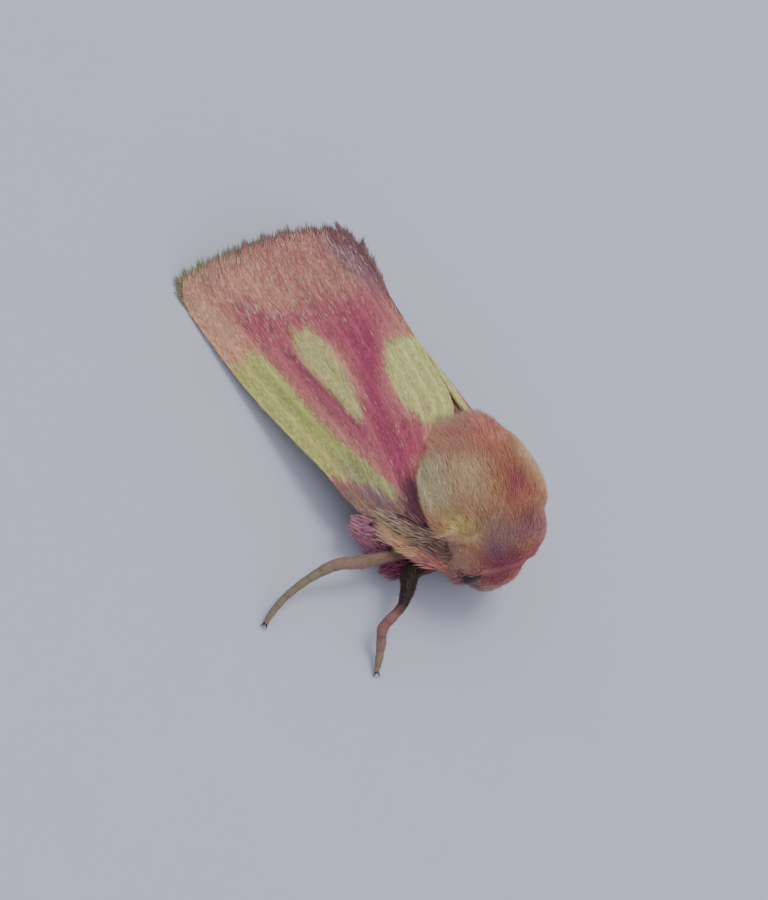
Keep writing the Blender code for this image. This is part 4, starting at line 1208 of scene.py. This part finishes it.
def leg_scales(piece, course, tones, ankle_share, rng):
    """Scales that lie along a leg, longer and shaggier above the foot."""
    points, normals, triangles = skin_arrays(piece)
    count = LEG_SCALES
    root, up = scatter(points, normals, triangles, count, rng)
    nearest = np.argmin(np.linalg.norm(root[:, None] - course[None], axis=2), axis=1)
    last = len(course) - 1
    way = unit(course[np.minimum(nearest + 2, last)] - course[np.maximum(nearest - 2, 0)])
    way = way + rng.normal(0, 0.1, (count, 3))
    here = nearest / last
    shaggy = 1 - smooth_step(ankle_share - 0.25, ankle_share, here)
    around = np.arctan2(*(root - course[nearest])[:, [0, 2]].T) / (2 * math.pi) + 0.5
    shades = tones[nearest] * varied(rng, count, 0.18)[:, None]
    tufts = {"root": root, "way": way, "up": up,
             "length": (0.12 + 0.16 * shaggy) * varied(rng, count, 0.3),
             "width": 0.028, "thickness": 0.014, "lift": 0.04 + 0.1 * rng.random(count) ** 2,
             "sink": 0.01, "tone": shades, "tip": laid_over(shades, "tan", np.full(count, 0.12)),
             "patch": np.column_stack([around, here])}
    return picked(tufts, root[:, 2] > 0.05)


class MOTH_OT_legs(bpy.types.Operator):
    """Six legs with spurs, claws and lying scales"""

    bl_idname = "moth.legs"
    bl_label = "Legs"

    def execute(self, context):
        material = surface("leg_skin")
        claws = bmesh.new()
        for number, name in enumerate(LEGS):
            rng = np.random.default_rng(SEEDS["legs"] + number)
            course, radii, tones, ankle_share = leg_course(name, LEG_POINTS)
            mesh = bmesh.new()
            rod(mesh, course, radii, 14)
            ankle = int(ankle_share * (LEG_POINTS - 1))
            claws_and_spurs(claws, mesh, course, ankle, "fore" not in name)
            data = to_mesh(name + "_skin", mesh)
            places = out_of_frame(data)
            nearest = np.argmin(np.linalg.norm(places[:, None] - course[None], axis=2), axis=1)
            # The leg's skin is painted darker, as shade under its scales.
            paint(data, tones[nearest] * SKIN_PAINTED_SHADE)
            piece = add_piece(data.name, data, material, [name])
            tufts = leg_scales(piece, course, tones, ankle_share, rng)
            tuft_piece("scales_" + name, tufts, surface("leg_scales"))
        add_piece("claws", to_mesh("claws", claws), surface("claws", colour_of("bark") * 0.5))
        return {"FINISHED"}


# Streams of hair between wings and legs: colour, colour of the tips, hairs, their length, how far they
# spread at the start and at the end, and the course that they follow.
STREAMS = (
    ("pink", "pink", 1500, 0.3, 0.3, 0.42, (
        (-1.85, -4.15, 0.75), (-2.4, -3.8, 0.85), (-2.82, -3.42, 0.9), (-3.08, -3.2, 0.92))),
    ("pink", "cream", 220, 0.3, 0.25, 0.42, (
        (-2.3, -3.85, 0.85), (-2.8, -3.45, 1.0), (-3.14, -3.2, 1.08))),
    ("deep_magenta", "pink", 350, 0.3, 0.25, 0.35, (
        (-1.9, -4.2, 0.6), (-2.5, -4.0, 0.6), (-2.85, -3.75, 0.62))),
    # Partly painted shade: the leg roots' own crimson hair, painted darker with deep magenta and maroon tips
    # for the shade under the body.
    ("deep_magenta", "maroon", 700, 0.25, 0.28, 0.28, (
        (-1.7, -4.6, 0.75), (-2.2, -4.65, 0.7), (-2.7, -4.62, 0.62))),
    ("rose", "peach", 700, 0.5, 0.05, 0.12, (
        (-1.0, -5.6, 1.4), (-1.6, -5.25, 1.5), (-2.05, -4.9, 1.55), (-2.35, -4.55, 1.55))),
    ("peach", "tan", 700, 0.55, 0.1, 0.1, (
        (-1.85, -5.0, 1.55), (-2.2, -4.7, 1.57), (-2.6, -4.25, 1.5), (-2.85, -3.7, 1.45))),
    ("pink", "mauve", 130, 0.55, 0.12, 0.12, (
        (-1.4, -5.35, 1.45), (-2.1, -4.8, 1.5), (-2.7, -4.0, 1.4))),
    ("straw", "tan", 150, 0.5, 0.12, 0.14, (
        (-1.9, -4.85, 1.7), (-2.3, -4.4, 1.65), (-2.75, -3.8, 1.55))),
    ("clay", "tan", 420, 0.45, 0.08, 0.14, (
        (-1.2, -5.4, 1.75), (-1.65, -5.05, 1.85), (-2.1, -4.6, 1.8), (-2.5, -4.0, 1.65))),
    ("dun", "tan", 300, 0.5, 0.06, 0.16, (
        (-1.5, -4.9, 2.1), (-2.0, -4.5, 1.95), (-2.45, -3.9, 1.75), (-2.8, -3.3, 1.6))),
    ("mauve", "dun", 350, 0.5, 0.12, 0.15, (
        (-1.25, -4.95, 1.95), (-1.65, -4.5, 1.82), (-2.15, -3.9, 1.75), (-2.55, -3.4, 1.7))),
    # Painted shade: maroon and umber hair under the shoulder flap, where shade falls.
    ("maroon", "umber", 600, 0.5, 0.2, 0.25, (
        (-1.5, -4.6, 1.8), (-2.0, -4.1, 1.65), (-2.35, -3.5, 1.55))),
    ("clay", "dun", 180, 0.5, 0.06, 0.16, (
        (-1.5, -4.9, 2.1), (-2.0, -4.5, 1.95), (-2.45, -3.9, 1.75), (-2.8, -3.3, 1.6))),
)


def stream_hairs(side, rng, name, tip_name, count, long, start, end, course):
    """Hairs along a course that is given for the right side."""
    course = np.array(course)
    if side == LEFT:  # the left middle leg is folded in, so the hair is shorter
        course = course[0] + (course - course[0]) * (0.6, 0.8, 0.9)
        long, start, end = 0.7 * long, 0.5 * start, 0.5 * end
    share = rng.random(count) ** 0.8 * (1 - 0.5 * long / np.linalg.norm(course[-1] - course[0]))
    ball = unit(rng.normal(size=(count, 3))) * rng.random((count, 1)) ** (1 / 3)
    ahead = np.minimum(share + 0.12, 1.0)
    wide, wider = ((start + (end - start) * part + 0.16 * np.sin(math.pi * part))[:, None]
                   for part in (share, ahead))
    roots = path_points(course, share) + ball * wide
    way = path_points(course, ahead) + ball * wider - roots
    way = unit(way) + rng.normal(0, 0.09, (count, 3)) + 0.12 * waves(roots, 0.5, STREAM_WAVES)[:, None]
    roots[:, 2] = np.maximum(roots[:, 2], 0.15)
    tones = plain(name, count) * varied(rng, count, 0.2)[:, None]
    mirror = (-side, 1, 1)
    return {"root": roots * mirror, "way": way * mirror, "up": np.tile((0.0, 0.0, 1.0), (count, 1)),
            "length": long * varied(rng, count, 0.3), "width": STREAM_WIDTH * varied(rng, count, 0.35),
            "tone": tones, "tip": laid_over(tones, tip_name, 0.25 + 0.5 * share),
            "patch": body_unwrap(roots * mirror)}


class MOTH_OT_leg_tufts(bpy.types.Operator):
    """Longer hair between the wings and the legs"""

    bl_idname = "moth.leg_tufts"
    bl_label = "Leg tufts"

    def execute(self, context):
        material = surface("tuft_hair")
        for side_name, side in SIDES.items():
            groups = []
            for number, stream in enumerate(STREAMS):
                rng = np.random.default_rng(SEEDS["streams"] + number)
                groups.append(stream_hairs(side, rng, *stream))
            hairs = joined(groups)
            # The hairs' roots are darkened a little, as painted shade.
            hairs.update(thickness=FUR_THICKNESS, sink=0.0, lift=0.08, bend=0.08, root_shade=0.8)
            tuft_piece(f"leg_tuft_{side_name}", hairs, material, cuts=2)
        return {"FINISHED"}


class MOTH_OT_antennae(bpy.types.Operator):
    """Thread-like antennae tucked under the wings"""

    bl_idname = "moth.antennae"
    bl_label = "Antennae"

    def execute(self, context):
        for side_name, side in SIDES.items():
            share = np.linspace(0, 1, 150)
            ringed = 1 + 0.12 * np.sin(share * 150 / 2.5 * 2 * math.pi / 2)
            radii = (0.1 + (0.045 - 0.1) * share) * ringed * np.where(share < 0.03, 1.4, 1.0)
            mesh = bmesh.new()
            course = path_points(mirrored(ANTENNA, side), share)
            rod(mesh, course, radii, 10)
            data = to_mesh(f"antenna_skin_{side_name}", mesh)
            points = out_of_frame(data)
            tones = plain("umber", len(points))
            bands = (0.4 + 0.4 * np.sin(points[:, 1] * 30)) * smooth_step(-4.6, -3.6, points[:, 1])
            paint(data, laid_over(tones, "tan", bands))
            add_piece(data.name, data, surface("antenna"), [f"antenna_{side_name}"])
        return {"FINISHED"}


class MOTH_OT_eyes(bpy.types.Operator):
    """Round faceted eyes, mostly hidden in the fur"""

    bl_idname = "moth.eyes"
    bl_label = "Eyes"

    def execute(self, context):
        material = surface("eye_gloss", EYE_COLOUR)
        nodes, links = material.node_tree.nodes, material.node_tree.links
        shader = nodes["Principled BSDF"]
        facets, relief, place = (nodes.new("ShaderNode" + kind)
                                 for kind in ("TexVoronoi", "Bump", "TexCoord"))
        relief.invert = True
        set_inputs(shader, {"Coat Weight": 0.12, "Coat Roughness": 0.05})
        set_inputs(facets, {"Scale": 1 / (FACET_WIDTH * MM), "Randomness": 0.15})
        set_inputs(relief, {"Distance": FACET_DEPTH * MM})
        links.new(place.outputs["Object"], facets.inputs["Vector"])
        links.new(facets.outputs["Distance"], relief.inputs["Height"])
        links.new(relief.outputs["Normal"], shader.inputs["Normal"])
        for side_name, side in SIDES.items():
            mesh = bmesh.new()
            centre, along, width, up, down, _ = EYE
            half = Matrix.Diagonal((width, along, up, 1))
            place = Matrix.Translation((side * centre[0], centre[1], centre[2] - EYE_DROP)) @ half
            bmesh.ops.create_icosphere(mesh, subdivisions=5, radius=1.0, matrix=place)
            data = to_mesh(f"eyeball_{side_name}", mesh)
            add_piece(data.name, data, material, [f"eye_{side_name}"])
        return {"FINISHED"}


# The camera, as the photograph's: where it looks, and its own right, up and backward ways.
CAMERA_TARGET = (0.2237, -0.6127, -0.045)
CAMERA_RIGHT, CAMERA_UP, CAMERA_BACK = ((0.72694, -0.48843, 0.48269), (0.19906, 0.82262, 0.53261),
                                        (-0.65721, -0.29109, 0.69522))
PHOTO_HEIGHT, FOCAL_PIXELS, SENSOR = 900, 2077, 36.0
FLOOR_COLOUR = (0.57, 0.58, 0.7)
SKY_COLOUR, SKY_STRENGTH = (0.9, 0.93, 1.0, 1), 0.75
LIGHT_DISTANCE = 0.14
# Lights: name, the way towards it, its width, its share of the power, its colour.
LIGHTS = (("key", (0.25, 0.1, 1.0), 0.06, 1.0, (1.0, 0.98, 0.94)),
          ("fill", (-0.7, -0.9, 0.8), 0.12, 0.45, (0.92, 0.95, 1.0)))


class MOTH_OT_stage(bpy.types.Operator):
    """Plain pale floor, soft light and the camera"""

    bl_idname = "moth.stage"
    bl_label = "Stage"

    def execute(self, context):
        stage = context.scene.moth_stage
        mesh = bmesh.new()
        bmesh.ops.create_grid(mesh, x_segments=8, y_segments=8, size=stage.floor_size / 2)
        data = bpy.data.meshes.new("floor")
        mesh.to_mesh(data)
        mesh.free()
        floor = linked("floor", data)
        data.materials.append(surface("floor", FLOOR_COLOUR))

        world = bpy.data.worlds.new("studio")
        world.use_nodes = True
        set_inputs(world.node_tree.nodes["Background"], {"Color": SKY_COLOUR, "Strength": SKY_STRENGTH})
        context.scene.world = world

        centre = Vector(in_frame(CAMERA_TARGET))
        for name, way, size, power, colour in LIGHTS:
            light = bpy.data.lights.new(name, "AREA")
            light.size = size
            light.energy = stage.key_power * power
            light.color = colour
            lamp = linked(name, light)
            lamp.location = centre + Vector(way).normalized() * LIGHT_DISTANCE
            lamp.rotation_euler = (lamp.location - centre).to_track_quat("Z", "Y").to_euler()

        camera = bpy.data.cameras.new("camera")
        camera.sensor_width = SENSOR
        camera.lens = FOCAL_PIXELS / PHOTO_HEIGHT * SENSOR
        camera.clip_start = 0.001
        view = linked("camera", camera)
        turn = Matrix((CAMERA_RIGHT, CAMERA_UP, CAMERA_BACK)).transposed().to_4x4()
        place = Matrix.Translation(centre + Vector(CAMERA_BACK) * stage.camera_distance)
        view.matrix_world = place @ turn
        context.scene.camera = view
        return {"FINISHED"}


PIECES = (MOTH_OT_skin, MOTH_OT_wings, MOTH_OT_wing_scales, MOTH_OT_fringes, MOTH_OT_fur, MOTH_OT_legs,
          MOTH_OT_leg_tufts, MOTH_OT_antennae, MOTH_OT_eyes, MOTH_OT_stage)


class MOTH_PT_panel(bpy.types.Panel):
    """Sizes, colours and pieces of the moth"""

    bl_idname = "MOTH_PT_panel"
    bl_label = "Resting Flower Moth"
    bl_space_type = "VIEW_3D"
    bl_region_type = "UI"
    bl_category = "Moth"

    def draw(self, context):
        for group in (context.scene.moth_sizes, context.scene.moth_colours, context.scene.moth_stage):
            box = self.layout.box()
            for name in group.__annotations__:
                box.prop(group, name)
        for piece in PIECES:
            self.layout.operator(piece.bl_idname)


CLASSES = (MothColours, MothSizes, StageSizes) + PIECES + (MOTH_PT_panel,)


def register():
    for each in CLASSES:
        bpy.utils.register_class(each)
    bpy.types.Scene.moth_colours = PointerProperty(type=MothColours)
    bpy.types.Scene.moth_sizes = PointerProperty(type=MothSizes)
    bpy.types.Scene.moth_stage = PointerProperty(type=StageSizes)


def unregister():
    del bpy.types.Scene.moth_stage
    del bpy.types.Scene.moth_sizes
    del bpy.types.Scene.moth_colours
    for each in reversed(CLASSES):
        bpy.utils.unregister_class(each)


def main():
    """Makes every piece in order."""
    register()
    for piece in PIECES:
        group, name = piece.bl_idname.split(".")
        if getattr(getattr(bpy.ops, group), name)() != {"FINISHED"}:
            raise RuntimeError(piece.bl_label + " wasn't finished")


if __name__ == "__main__":
    main()
